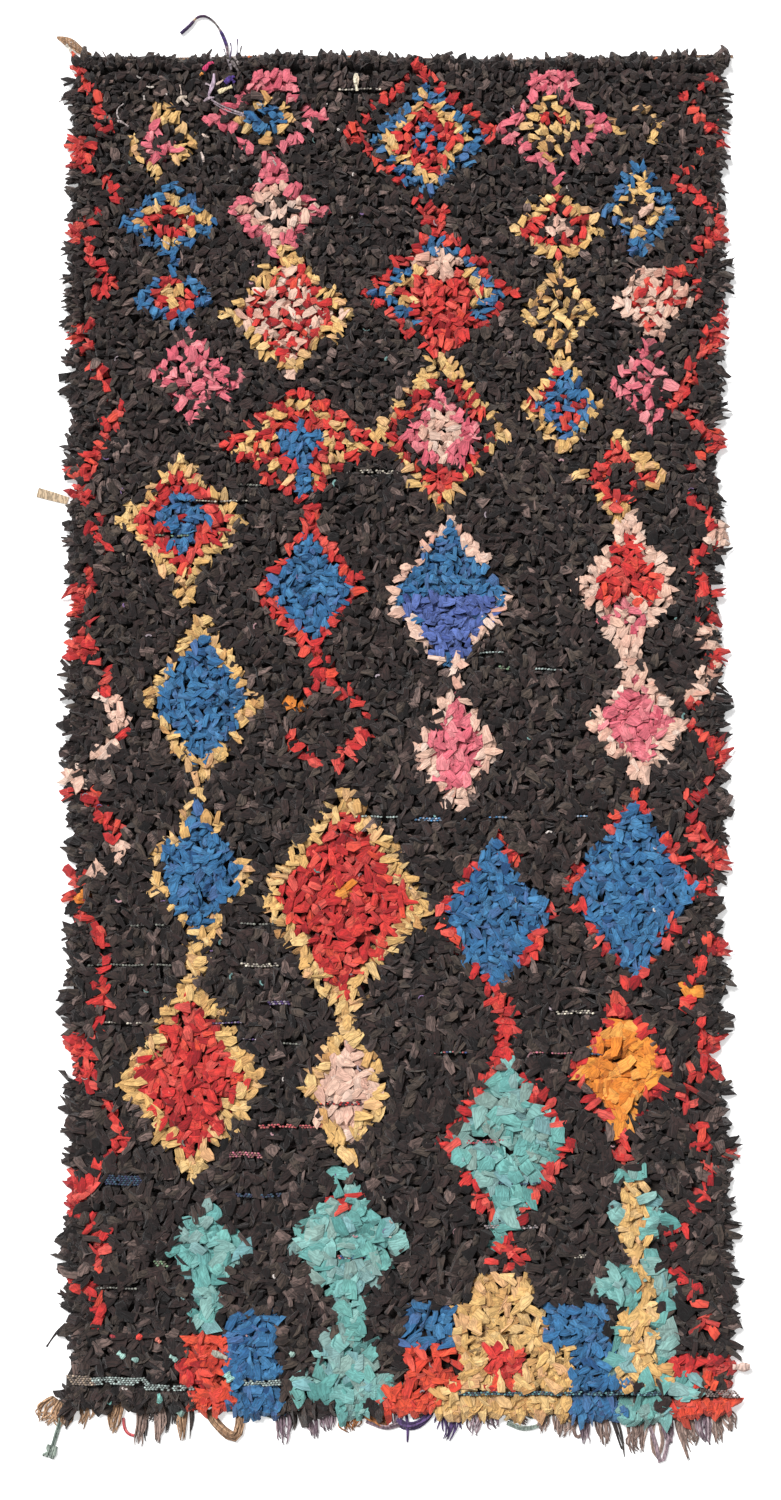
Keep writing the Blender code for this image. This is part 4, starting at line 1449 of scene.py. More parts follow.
YARN_LOOPS = (
    YarnLoop(((-0.708, -0.002), (-0.714, 0.026), (-0.722, 0.052), (-0.731, 0.078)),
             0.006, 5, GREY_GREEN),
    YarnLoop(((-0.728, 0.07), (-0.731, 0.082), (-0.735, 0.095)), 0.019, 11, GREY_GREEN),
    YarnLoop(((-0.58, 0.012), (-0.577, 0.034), (-0.568, 0.046), (-0.553, 0.05)), 0.003, 2, PINK),
    YarnLoop(((-0.402, -0.004), (-0.388, 0.02), (-0.362, 0.044), (-0.344, 0.05), (-0.334, 0.03),
             (-0.332, 0.002)), 0.019, 12, TAN),
    YarnLoop(((-0.005, 0.014), (0.008, 0.026), (0.036, 0.026), (0.058, 0.01), (0.066, -0.014)),
             0.016, 10, PURPLE),
    YarnLoop(((-0.07, 0.018), (-0.03, 0.032), (0, 0.026)), 0.007, 4, LILAC),
    YarnLoop(((0.226, 0.022), (0.262, 0.034), (0.3, 0.022), (0.322, -0.01)), 0.007, 4, GREY_GREEN),
    YarnLoop(((0.379, 0.01), (0.366, 0.034), (0.372, 0.052), (0.386, 0.046)), 0.004, 3, TAUPE),
    YarnLoop(((0.522, 0.02), (0.538, 0.07), (0.548, 0.108), (0.56, 0.08), (0.566, 0.03)),
             0.007, 4, LILAC),
    YarnLoop(((0.534, 0.02), (0.53, 0.06), (0.54, 0.096), (0.552, 0.06), (0.548, 0.018)),
             0.005, 3, TAUPE),
)


@dataclass
class Fringe:
    """The tassels, loops and twined edge of warp and weft ends past the bottom of the pile."""

    outline: FieldOutline
    material: bpy.types.Material
    nominal_edge: float = -FIELD_LENGTH / 2
    steps: int = 11
    sides: int = 5
    yarn_radius: float = 0.0024
    rest: float = 0.002
    stack: float = 0.006
    full_bundle: float = 10.0
    stray: float = 0.15
    bow: float = 0.32
    waves: float = 2.6
    root_inside: float = 0.01
    sway: float = 0.003
    trim: Span = (0.72, 1.04)
    yarn_spread: Span = (0.75, 1.25)
    taper: float = 0.62
    loop_opening: float = 0.8
    loop_spread: Span = (0.75, 1.2)
    edge_span: Span = (-0.725, 0.688)
    edge_steps: int = 471
    edge_rows: tuple[float, float, float] = (0.002, 0.0052, 0.0084)
    edge_radius: float = 0.0016

    def build(self) -> list[bpy.types.Object]:
        """Make the tassels with their loops as one piece, and the twined edge as another.

        Returns:
            The pieces.
        """
        rng = np.random.default_rng((SEED, 101))
        bundles = [self.tassel(tassel, rng) for tassel in TASSELS]
        bundles += [self.loop(loop, rng) for loop in YARN_LOOPS]
        paths, radii, dyes = (np.concatenate(part) for part in zip(*bundles))
        # Painted shade: each strand is darker towards its root under the pile and towards its tip.
        shade = 0.55 + 0.45 * np.sin(np.pi * np.linspace(0.0, 1.0, self.steps)) ** 0.5
        tassels = tube_piece("tassels", paths, radii, self.sides, self.material, dyes, shade)
        seat(tassels, "fringe")
        return [tassels, self.edge(rng)]

    def edge_line(self, across: Array, past: float) -> Array:
        """Places on the bottom edge, moved outwards by some distance."""
        return self.outline.bottom(across) - past

    def spread(self, line: Array, across: Array, opening: Array, width: float, strands: int,
               rng: Rng) -> Array:
        """Lay strands side by side and on each other along a middle line.

        A strand is the middle line plus its share of half the opening across it, a slow random bend, and its
        share of the stack upwards.

        Args:
            line: The middle line, steps by two.
            across: The unit vector across it at each step, steps by two.
            opening: How wide the bundle is at each step, as a share of its width.
            width: The bundle's width.
            strands: How many strands it has.
            rng: Where the bends come from.

        Returns:
            The strands' middle lines, strands by steps by three.
        """
        share = np.linspace(-1.0, 1.0, strands) + rng.normal(0.0, self.stray, strands)
        along = np.linspace(0.0, 1.0, self.steps)
        bow = rng.normal(0.0, self.bow, (strands, 1))
        bend = bow * np.sin(self.waves * np.pi * along + rng.uniform(0, 6.28, (strands, 1)))
        offset = (share[:, None] * opening + bend * along) * width / 2
        level = rng.random(strands)[:, None] * (0.35 + 0.65 * np.sin(np.pi * along) ** 0.5)
        paths = np.zeros((strands, self.steps, 3))
        paths[..., :2] = line[None] + across[None] * offset[..., None]
        paths[..., 2] = self.rest + self.stack * level * min(1.0, strands / self.full_bundle)
        return paths

    def tassel(self, tassel: Tassel, rng: Rng) -> tuple[Array, Array, Array]:
        """Lay one tassel: narrow at its root, wider towards a ragged tip, or gathered in a knot.

        Args:
            tassel: The tassel.
            rng: Where its irregularities come from.

        Returns:
            Middle lines, radii and colours of its strands.
        """
        along = np.linspace(0.0, 1.0, self.steps)
        start = np.array([tassel.root, float(self.edge_line(np.array(tassel.root), -self.root_inside))])
        stop = np.array([tassel.tip, self.nominal_edge - tassel.past])
        line = start + (stop - start) * along[:, None]
        line[:, 0] += self.sway * np.sin(np.pi * along) * rng.choice([-1.0, 1.0])
        ahead = (stop - start) / np.linalg.norm(stop - start)
        across = np.broadcast_to(np.array([-ahead[1], ahead[0]]), (self.steps, 2))
        opening = 0.6 + 0.55 * np.sin(np.pi * along ** 0.8)
        if tassel.knotted:
            opening = 0.55 + 0.75 * np.exp(-((along - 0.75) / 0.16) ** 2)
        paths = self.spread(line, across, opening, tassel.width, tassel.strands, rng)
        trim = rng.uniform(*self.trim, tassel.strands)[:, None]
        paths[..., 1] = start[1] + (paths[..., 1] - start[1]) * (1.0 + (trim - 1.0) * along)
        radii = self.yarn_radius * rng.uniform(*self.yarn_spread, (tassel.strands, 1))
        radii = radii * (1.0 - self.taper * along ** 4)
        return paths, radii, yarn_dye(tassel.yarn, tassel.strands, rng)

    def loop(self, loop: YarnLoop, rng: Rng) -> tuple[Array, Array, Array]:
        """Lay one loop or long end along its smooth route.

        Args:
            loop: The loop.
            rng: Where its irregularities come from.

        Returns:
            Middle lines, radii and colours of its strands.
        """
        own = np.array(loop.route)
        route = smooth_route(np.stack([own[:, 0], self.nominal_edge - own[:, 1]], axis=1), self.steps)
        opening = np.full(self.steps, self.loop_opening)
        paths = self.spread(route, sideways(route), opening, loop.width, loop.strands, rng)
        radii = self.yarn_radius * rng.uniform(*self.loop_spread, (loop.strands, 1)) * np.ones(self.steps)
        return paths, radii, yarn_dye(loop.yarn, loop.strands, rng)

    def edge(self, rng: Rng) -> bpy.types.Object:
        """Make the twined weft rows that the tassels come out of.

        Args:
            rng: Where the colours come from.

        Returns:
            The piece.
        """
        across = np.linspace(*self.edge_span, self.edge_steps)
        rows = [np.stack([across, self.edge_line(across, past)], axis=1) for past in self.edge_rows]
        piece = twined_band("fringe_edge", rows, self.edge_radius, self.edge_radius, self.material,
                            (WEFT, TAUPE, GREY_GREEN), rng)
        seat(piece, "fringe")
        return piece


def twined_band(name: str, rows: list[Array], radius: float, rise: float, material: bpy.types.Material,
                yarns: tuple[Yarn, ...], rng: Rng, pitch: float = 0.009) -> bpy.types.Object:
    """Make rows of two yarns twined round each other.

    A yarn's middle line is the row's line plus 0.6 radius times (cos a across it, sin a upwards), where a
    grows by a full turn in each pitch and the second yarn is half a turn behind.

    Args:
        name: The piece's name.
        rows: Middle lines of the rows, steps by two, all with the same steps.
        radius: The yarns' radius.
        rise: How high the rows' middle lies.
        material: The piece's finish.
        yarns: The yarn of each row in turn.
        rng: Where the colours come from.
        pitch: The length of one turn.

    Returns:
        The piece.
    """
    off_axis = 0.6 * radius
    blotches = 90
    paths, dyes = [], []
    for number, line in enumerate(rows):
        travelled = np.concatenate(([0.0], np.cumsum(np.linalg.norm(np.diff(line, axis=0), axis=1))))
        for half in (0.0, np.pi):
            turn = 2.0 * np.pi * travelled / pitch + half
            lift = rise + off_axis * np.sin(turn)
            paths.append(np.column_stack([line[:, 0], line[:, 1] + off_axis * np.cos(turn), lift]))
            tone = yarn_dye(yarns[number % len(yarns)], 1, rng)[0]
            places = np.linspace(0.0, travelled[-1], blotches)
            blotch = 0.75 + 0.35 * np.interp(travelled, places, rng.random(blotches))
            dyes.append(tone[None] * np.column_stack([blotch, blotch, blotch, np.ones(len(blotch))]))
    stacked = np.array(paths)
    return tube_piece(name, stacked, np.full(stacked.shape[:2], radius), YARN_SIDES, material, np.array(dyes))


@dataclass
class TopHeading:
    """The twined edge along the top and its loose, untwisted end at the left corner."""

    outline: FieldOutline
    material: bpy.types.Material
    left: float = -0.662
    right: float = 0.7
    band_steps: int = 560
    band_rows: Span = (-0.0052, -0.0026)
    band_rise: float = 0.0018
    radius: float = 0.0014
    strands: int = 16
    steps: int = 14
    sides: int = 5
    rest: float = 0.0022
    stack: float = 0.003
    end_route: tuple[tuple[float, float, float], ...] = (
        (-0.648, 1.425, 0.006), (-0.668, 1.4345, 0.012), (-0.683, 1.445, 0.02), (-0.7, 1.455, 0.016),
        (-0.719, 1.464, 0.003))

    def build(self) -> list[bpy.types.Object]:
        """Make the twined edge and the loose end.

        Returns:
            The pieces.
        """
        rng = np.random.default_rng((SEED, 102))
        across = np.linspace(self.left, self.right, self.band_steps)
        line = np.polynomial.Polynomial.fit(across, self.outline.top(across), 5)(across)
        rows = [np.stack([across, line + past], axis=1) for past in self.band_rows]
        band = twined_band("heading_band", rows, self.radius, self.band_rise, self.material,
                           (TAN, TAUPE), rng)
        seat(band, "top_heading")
        return [band, self.loose_end(rng)]

    def loose_end(self, rng: Rng) -> bpy.types.Object:
        """Fan the heading's untwisted yarns along the corner route, wide in the middle and drawn to a tip.

        Args:
            rng: Where the yarns' bends and colours come from.

        Returns:
            The piece.
        """
        route = smooth_route(np.array(self.end_route), self.steps)
        share = np.linspace(-1.0, 1.0, self.strands)
        wave = rng.normal(0.0, 0.08, (self.strands, self.steps))
        offset = (share[:, None] + wave) * route[:, 2] / 2
        paths = np.zeros((self.strands, self.steps, 3))
        paths[..., :2] = route[None, :, :2] + sideways(route)[None] * offset[..., None]
        arch = np.sin(np.pi * np.linspace(0, 1, self.steps))
        paths[..., 2] = self.rest + self.stack * rng.random((self.strands, 1)) * arch
        radii = np.full((self.strands, self.steps), self.radius) * np.linspace(1.0, 0.55, self.steps)
        dyes = yarn_dye(TAN, self.strands, rng)
        piece = tube_piece("heading_end", paths, radii, self.sides, self.material, dyes)
        seat(piece, "top_heading")
        return piece


@dataclass
class WrappedTie:
    """The limp cord that leaves the top edge: purple rag wrapped round it at its root and at its end."""

    outline: FieldOutline
    material: bpy.types.Material
    diameter: float = 0.008
    across: float = -0.36
    root_gap: float = 0.0013
    root_rise: float = 0.008
    wrap_pitch: float = 0.011
    under: float = 0.0002
    path_points: int = 36
    rings: int = 150
    sides: int = 12
    route: tuple[tuple[float, float, float], ...] = (
        (-0.364, 1.448, 0.0046), (-0.375, 1.475, 0.0041), (-0.39, 1.496, 0.0041), (-0.408, 1.507, 0.0041),
        (-0.425, 1.504, 0.0041), (-0.44, 1.488, 0.0041), (-0.459, 1.471, 0.0041))
    girth: tuple[Span, ...] = (
        (0.00, 0.7), (0.08, 0.75), (0.14, 1.00), (0.3, 1.00), (0.36, 0.62), (0.42, 0.55), (0.56, 0.62),
        (0.62, 0.8), (0.7, 0.76), (0.75, 0.62), (0.8, 0.95), (0.97, 1.00), (1.00, 0.94))
    colours: tuple[tuple[float, Tone], ...] = (
        (0.00, (150, 130, 132)), (0.1, (140, 118, 128)), (0.15, (66, 46, 104)), (0.31, (66, 46, 110)),
        (0.35, (176, 160, 160)), (0.4, (84, 78, 80)), (0.44, (150, 140, 136)), (0.54, (72, 62, 70)),
        (0.6, (84, 60, 88)), (0.71, (96, 66, 100)), (0.75, (186, 158, 120)), (0.79, (90, 66, 104)),
        (1.00, (70, 50, 100)))

    def build(self) -> bpy.types.Object:
        """A ring's radius is half the diameter times the girth there, times 0.9 to 1 as a saw-toothed wrap
        climbs round it once in each pitch.

        Returns:
            The piece.
        """
        start = (self.across, float(self.outline.top(np.array(self.across))) + self.root_gap, self.root_rise)
        own = np.array([start, *self.route])
        path = smooth_route(own, self.rings)
        length = float(np.linalg.norm(np.diff(path, axis=0), axis=1).sum())
        share = np.linspace(0.0, 1.0, self.rings)
        girth = np.interp(share, *np.array(self.girth).T)
        angle = 2.0 * np.pi * np.arange(self.sides) / self.sides
        climb = (share[:, None] * length / self.wrap_pitch + angle / (2.0 * np.pi)) % 1.0
        radii = 0.5 * self.diameter * girth[:, None] * (0.9 + 0.1 * climb)
        points = tube_points(path[None], np.ones((1, self.rings)), self.sides)
        middle = path[None, :, None]
        points = middle + (points - middle) * radii[None, ..., None]
        points[..., 2] = np.maximum(points[..., 2], self.under)
        piece = new_piece("wrapped_tie", points, tube_faces(1, self.rings, self.sides), self.material, True)
        stops = np.array([stop for stop, _ in self.colours])
        tones = np.array([tone for _, tone in self.colours], dtype=float)
        tone = np.stack([np.interp(share, stops, tones[:, channel]) for channel in range(3)], axis=1)
        # Painted shade: each wrap turn is darker where it starts and lighter at its raised edge.
        shade = tone[:, None] * (0.72 + 0.36 * climb)[..., None]
        round_it, along_it = np.broadcast_arrays(0.5 * self.diameter * angle, share[:, None] * length)
        dress(piece, linear(shade), np.stack([round_it, along_it, np.zeros_like(climb)], axis=-1))
        seat(piece, "tie_cord")
        return piece


@dataclass
class EdgeTape:
    """The ribbed tape end that leaves the left selvedge and lies on the floor."""

    material: bpy.types.Material
    steps: int = 40
    columns: int = 36
    ribs: int = 9
    thickness: float = 0.0019
    rib_height: float = 0.0002
    under: float = 0.0002
    tone: tuple[float, float, float] = (200.0, 176.0, 146.0)
    route: tuple[tuple[float, float, float], ...] = (
        (-0.696, 0.4905, 0.016), (-0.724, 0.4985, 0.0185), (-0.742, 0.5035, 0.0195), (-0.76, 0.5085, 0.02))

    def build(self) -> bpy.types.Object:
        """Make the tape: a grid along its route, ribbed above as 1 - |sin| across it, flat below.

        Returns:
            The piece.
        """
        route = smooth_route(np.array(self.route), self.steps)
        share = np.linspace(-0.5, 0.5, self.columns)
        place = route[:, None, :2] + sideways(route)[:, None] * (share[None, :] * route[:, 2:3])[..., None]
        rib = np.abs(np.sin(np.pi * self.ribs * (share + 0.5)))
        points = np.empty((2, self.steps, self.columns, 3))
        points[..., :2] = place
        points[0, ..., 2] = self.thickness - self.rib_height * (1.0 - rib)
        points[1, ..., 2] = self.under
        faces = slab_faces(self.steps, self.columns, flip=True)
        piece = new_piece("tape_end", points, faces, self.material, True)
        # Painted shade: the tape is darker in the troughs between its ribs.
        tone = np.array(self.tone) * (0.93 + 0.07 * rib)[:, None]
        dress(piece, linear(np.broadcast_to(tone, points.shape)), points)
        seat(piece, "edge_tape")
        return piece


def slab_faces(tall: int, wide: int, flip: bool = False) -> list[Array]:
    """List the quads of a slab made of an upper grid, a lower grid and the rim between them.

    Args:
        tall: Rows of points in a grid.
        wide: Points in a row.
        flip: Whether the grid runs the other way round as seen from above.

    Returns:
        The upper, lower and rim quads.
    """
    number = np.arange(wide * tall).reshape(tall, wide)
    upper = np.stack([number[:-1, :-1], number[:-1, 1:], number[1:, 1:], number[1:, :-1]], axis=-1)
    upper = upper.reshape(-1, 4)
    lower = upper[:, ::-1] + wide * tall
    loop = np.concatenate([number[0, :-1], number[:-1, -1], number[-1, :0:-1], number[:0:-1, 0]])
    after = np.roll(loop, -1)
    rim = np.stack([loop + wide * tall, after + wide * tall, after, loop], axis=-1)
    parts = [upper, lower, rim]
    return [part[:, ::-1] for part in parts] if flip else parts


@dataclass(frozen=True)
class LooseRag:
    """A loose rag or thread that lies on the pile, through (across, along) places, with a display colour."""

    route: tuple[Span, ...]
    width: float
    colour: Tone
    rise: float = 0.031


LOOSE_RAGS = tuple(LooseRag(*row) for row in (
    (((-0.3875, 1.3808), (-0.389, 1.362), (-0.395, 1.345), (-0.4001, 1.3325)), 0.008, (196, 172, 190)),
    (((-0.409, 1.323), (-0.399, 1.329), (-0.387, 1.331)), 0.006, (186, 166, 176)),
    (((-0.406, 1.36), (-0.397, 1.356), (-0.389, 1.35)), 0.005, (190, 172, 178)),
    (((-0.3833, 1.3577), (-0.374, 1.3625), (-0.368, 1.3682)), 0.005, (196, 172, 160)),
    (((-0.3644, 1.361), (-0.356, 1.369), (-0.346, 1.376)), 0.011, (78, 52, 132)),
    (((-0.36, 1.376), (-0.352, 1.37), (-0.345, 1.362)), 0.008, (70, 46, 116)),
    (((-0.3791, 1.342), (-0.364, 1.348), (-0.3497, 1.354)), 0.009, (220, 204, 164)),
    (((-0.4095, 1.388), (-0.403, 1.396), (-0.397, 1.404)), 0.01, (200, 56, 104), 0.029),
    (((-0.4, 1.399), (-0.393, 1.404), (-0.388, 1.403)), 0.006, (190, 60, 100), 0.028),
    (((-0.408, 1.409), (-0.401, 1.417), (-0.394, 1.418)), 0.008, (216, 206, 206), 0.02),
    (((-0.4169, 1.3775), (-0.411, 1.382)), 0.006, (222, 144, 64)),
    (((-0.4589, 1.3577), (-0.4565, 1.345), (-0.456, 1.3367)), 0.003, (196, 176, 164)),
    (((-0.4652, 1.32), (-0.456, 1.33), (-0.444, 1.332)), 0.009, (200, 182, 164)),
    (((-0.458, 1.332), (-0.449, 1.322), (-0.441, 1.314)), 0.008, (182, 166, 156)),
    (((-0.5765, 1.3178), (-0.588, 1.308), (-0.59, 1.295), (-0.586, 1.286)), 0.003, (178, 166, 164)),
    (((-0.59, 1.282), (-0.58, 1.279), (-0.566, 1.27)), 0.005, (160, 146, 144)),
    (((-0.3392, 1.456), (-0.34, 1.435), (-0.3392, 1.4165)), 0.003, (84, 72, 96), 0.018),
    (((-0.3539, 1.448), (-0.352, 1.433), (-0.356, 1.4122)), 0.004, (96, 84, 110), 0.018),
    (((-0.3308, 1.442), (-0.334, 1.425)), 0.003, (88, 80, 84), 0.018),
    (((-0.368, 1.436), (-0.364, 1.424), (-0.359, 1.41)), 0.003, (90, 78, 100), 0.018),
    (((-0.364, 1.42), (-0.356, 1.405), (-0.352, 1.39)), 0.006, (128, 118, 122), 0.026),
    (((-0.352, 1.408), (-0.343, 1.396), (-0.337, 1.387)), 0.007, (116, 106, 106), 0.028),
    (((-0.346, 1.418), (-0.34, 1.408), (-0.335, 1.401)), 0.006, (140, 130, 128), 0.024),
    (((-0.3938, 1.3262), (-0.364, 1.31), (-0.326, 1.296)), 0.004, (168, 150, 158)),
    (((-0.388, 1.319), (-0.36, 1.302), (-0.3245, 1.292)), 0.003, (148, 132, 140)),
    (((-0.5345, 1.335), (-0.533, 1.326)), 0.004, (200, 190, 184)),
    (((-0.5324, 1.3556), (-0.522, 1.352), (-0.5135, 1.353)), 0.004, (210, 198, 188)),
    (((-0.488, 1.34), (-0.485, 1.334)), 0.004, (200, 190, 184)),
    (((-0.4127, 1.2548), (-0.405, 1.249), (-0.398, 1.248)), 0.005, (214, 190, 176)),
    (((-0.4148, 1.217), (-0.411, 1.206), (-0.409, 1.196)), 0.006, (206, 186, 176)),
    (((-0.13, 1.266), (-0.125, 1.26)), 0.005, (206, 196, 190)),
    (((-0.264, 1.2), (-0.256, 1.183)), 0.005, (196, 180, 174)),
    (((-0.498, 1.033), (-0.48, 1.024)), 0.004, (186, 172, 172)),
    (((-0.0905, 1.381), (-0.092, 1.364), (-0.089, 1.345)), 0.009, (234, 222, 196)),
    (((-0.092, 1.379), (-0.087, 1.37), (-0.088, 1.356)), 0.006, (226, 206, 180)),
    (((-0.318, 1.418), (-0.309, 1.419)), 0.005, (210, 116, 70), 0.02),
    (((-0.108, 1.418), (-0.099, 1.419)), 0.005, (206, 120, 84), 0.02),
    (((0.532, 1.414), (0.541, 1.415)), 0.005, (206, 110, 70), 0.02),
    (((0.606, 1.419), (0.615, 1.418)), 0.005, (200, 112, 76), 0.02),
    (((-0.699, 1.445), (-0.689, 1.433), (-0.68, 1.426)), 0.009, (216, 208, 196), 0.012),
    (((-0.686, 1.43), (-0.679, 1.418)), 0.008, (206, 92, 70), 0.016),
    (((-0.588, -1.291), (-0.581, -1.297), (-0.575, -1.302)), 0.013, (158, 196, 186)),
    (((-0.56, -1.304), (-0.546, -1.308)), 0.011, (140, 176, 168)),
    (((-0.48, -1.299), (-0.472, -1.303), (-0.466, -1.31)), 0.01, (150, 186, 176)),
    (((-0.362, -1.335), (-0.357, -1.342), (-0.352, -1.35)), 0.019, (150, 196, 186), 0.033),
    (((-0.392, -1.29), (-0.375, -1.297), (-0.36, -1.303)), 0.013, (160, 160, 148), 0.033),
    (((-0.229, -1.292), (-0.22, -1.298)), 0.012, (160, 190, 180)),
    (((-0.504, -1.378), (-0.501, -1.39), (-0.505, -1.398)), 0.011, (120, 180, 170), 0.028),
    (((-0.618, -1.393), (-0.603, -1.399)), 0.008, (110, 170, 160), 0.026),
    (((-0.468, -1.417), (-0.452, -1.424)), 0.014, (124, 152, 142), 0.016),
    (((-0.256, -1.412), (-0.249, -1.424)), 0.018, (120, 164, 146), 0.018),
    (((-0.548, -1.252), (-0.541, -1.264)), 0.014, (226, 70, 60)),
    (((-0.508, -1.262), (-0.5, -1.27)), 0.01, (216, 124, 106)),
    (((-0.605, -1.257), (-0.588, -1.259)), 0.007, (160, 54, 62)),
    (((-0.7, -1.235), (-0.722, -1.258), (-0.74, -1.284)), 0.006, (48, 42, 42), 0.01),
    (((0.698, -1.325), (0.734, -1.325)), 0.018, (206, 176, 164), 0.015),
))


@dataclass
class LooseRags:
    """The loose rags and threads near the tie, and pale flecks of lint all over the pile."""

    material: bpy.types.Material
    steps: int = 12
    flat: float = 0.35
    flecks: int = 150
    arch: float = 0.002
    waver: float = 0.0005
    fleck_rise: float = 0.03
    fleck_field: Span = (0.66, 1.38)
    fleck_length: Span = (0.005, 0.014)
    fleck_radius: Span = (0.0008, 0.0022)
    fleck_bow: float = 0.25
    fleck_tones: tuple[Tone, ...] = (
        (206, 196, 190), (176, 160, 168), (150, 140, 130), (196, 150, 156), (120, 160, 156), (140, 110, 160))

    def build(self) -> bpy.types.Object:
        """Make the rags as flattened, slightly arched tubes on the pile.

        Returns:
            The piece.
        """
        rng = np.random.default_rng((SEED, 103))
        share = np.linspace(0.0, 1.0, self.steps)
        paths, radii, dyes = [], [], []
        for rag in LOOSE_RAGS:
            line = smooth_route(np.array(rag.route), self.steps)
            height = rag.rise + self.arch * np.sin(np.pi * share) + rng.normal(0.0, self.waver, self.steps)
            paths.append(np.column_stack([line, height]))
            radii.append(rag.width / 2 * (0.85 + 0.25 * np.sin(2.0 * np.pi * share + rng.uniform(0, 6.28))))
            dyes.append(linear(np.array(rag.colour, dtype=float)))
        for _ in range(self.flecks):
            middle = [rng.uniform(-half, half) for half in self.fleck_field]
            turn, length = rng.uniform(0.0, np.pi), rng.uniform(*self.fleck_length)
            place = (share - 0.5)[:, None] * length * np.array([np.cos(turn), np.sin(turn)])
            bow = self.fleck_bow * length * np.sin(np.pi * share)[:, None]
            place = place + bow * np.array([-np.sin(turn), np.cos(turn)]) + np.array(middle)
            height = np.full(self.steps, self.fleck_rise + rng.normal(0.0, 0.002))
            paths.append(np.column_stack([place, height]))
            radii.append(np.full(self.steps, rng.uniform(*self.fleck_radius)))
            tone = np.array(self.fleck_tones[rng.integers(len(self.fleck_tones))], dtype=float)
            dyes.append(linear(tone * rng.uniform(0.7, 1.0)))
        piece = tube_piece("loose_rags", np.array(paths), np.array(radii), YARN_SIDES, self.material,
                           np.array(dyes), flat=self.flat, smooth=False)
        seat(piece, "rag_pile")
        return piece


@dataclass(frozen=True)
class BareWeft:
    """A stretch of weft that shows in a parting of the pile; places are centimetres."""

    along: float
    left: float
    right: float
    tones: tuple[Tone, ...]
    rows: int = 1


GREY_WEFT = ((150, 152, 140), (120, 118, 112))
PALE_WEFT = ((186, 204, 198), (150, 160, 156))
NAVY_WEFT = ((52, 58, 92), (64, 96, 120))
PURPLE_WEFT = ((88, 62, 120), (190, 176, 190))
PINK_WEFT = ((196, 110, 130), (170, 120, 110))
CREAM_WEFT = ((226, 216, 196), (150, 140, 132))
GREEN_WEFT = ((126, 156, 120), (120, 118, 100))
MIXED_WEFT = ((206, 110, 110), (70, 90, 150), (150, 186, 180))
BLUE_WEFT = ((80, 140, 190), (176, 186, 204))
BARE_WEFTS = tuple(BareWeft(*row) for row in (
    (134.9, -12.5, -3.7, CREAM_WEFT),
    (55.1, -8, -0.3, CREAM_WEFT, 2),
    (52.2, -35, -28, GREY_WEFT),
    (48.8, -43.7, -31.2, CREAM_WEFT),
    (41.6, -51.4, -43.7, GREEN_WEFT),
    (17.1, 17, 22, PALE_WEFT),
    (14.1, 21, 23, GREEN_WEFT, 2),
    (13.6, 28.6, 34.4, PALE_WEFT),
    (-17.2, -9, -0.3, PALE_WEFT),
    (-17.5, 3.1, 9.4, BLUE_WEFT, 2),
    (-17.7, 12.5, 14.5, BLUE_WEFT),
    (-17.4, 19, 22.4, BLUE_WEFT),
    (-17.2, 35.4, 40.2, BLUE_WEFT),
    (-39.9, -56, -47, GREY_WEFT),
    (-39.6, -33, -26, GREY_WEFT),
    (-48.2, -64.9, -46.6, GREY_WEFT),
    (-48, -33, -25.4, CREAM_WEFT, 2),
    (-56, -27.3, -23.4, PURPLE_WEFT, 2),
    (-57.9, 33, 40.2, CREAM_WEFT, 2),
    (-60.3, -62, -54, CREAM_WEFT),
    (-60.3, -38.9, -32, PURPLE_WEFT),
    (-63.7, -33.9, -29.1, PURPLE_WEFT),
    (-64.7, -25.4, -20.5, GREY_WEFT),
    (-66.5, 7.4, 15.2, MIXED_WEFT),
    (-66.6, 26.8, 36.4, PINK_WEFT),
    (-66.8, 39, 44, NAVY_WEFT),
    (-76.9, -18.6, -6, ((206, 60, 60), (90, 60, 70)), 2),
    (-81.7, -29.2, -15.7, ((220, 130, 120), (196, 80, 90)), 2),
    (-87.5, -36, -29, PINK_WEFT, 3),
    (-84.9, 13.2, 21.9, ((206, 70, 80), (196, 120, 130)), 2),
    (-92.4, -62.5, -54.3, NAVY_WEFT, 5),
    (-93.9, 20.9, 29.6, NAVY_WEFT),
    (-96.2, -34, -24.4, NAVY_WEFT, 2),
    (-102.8, 18, 28.6, ((176, 160, 160), (130, 126, 130)), 2),
    (-109, -12.8, -7, MIXED_WEFT, 2),
    (-110.3, -51.2, -49.2, GREEN_WEFT, 3),
    (-109, 36.4, 39.3, CREAM_WEFT, 2),
    (-115.8, -63, -54.5, GREY_WEFT),
    (-134.2, -69.5, -64.5, ((176, 156, 136), (146, 130, 120)), 5),
    (-134.6, -64.5, -53.3, PALE_WEFT, 4),
    (-136.2, -53.5, -43.5, PALE_WEFT, 3),
    (-137.2, 63.5, 70.5, ((156, 136, 130), (124, 106, 100)), 4),
    (-135.2, -33, -25, PALE_WEFT, 3),
    (-137.6, 11.3, 58, ((56, 80, 104), (110, 160, 164)), 2),
))


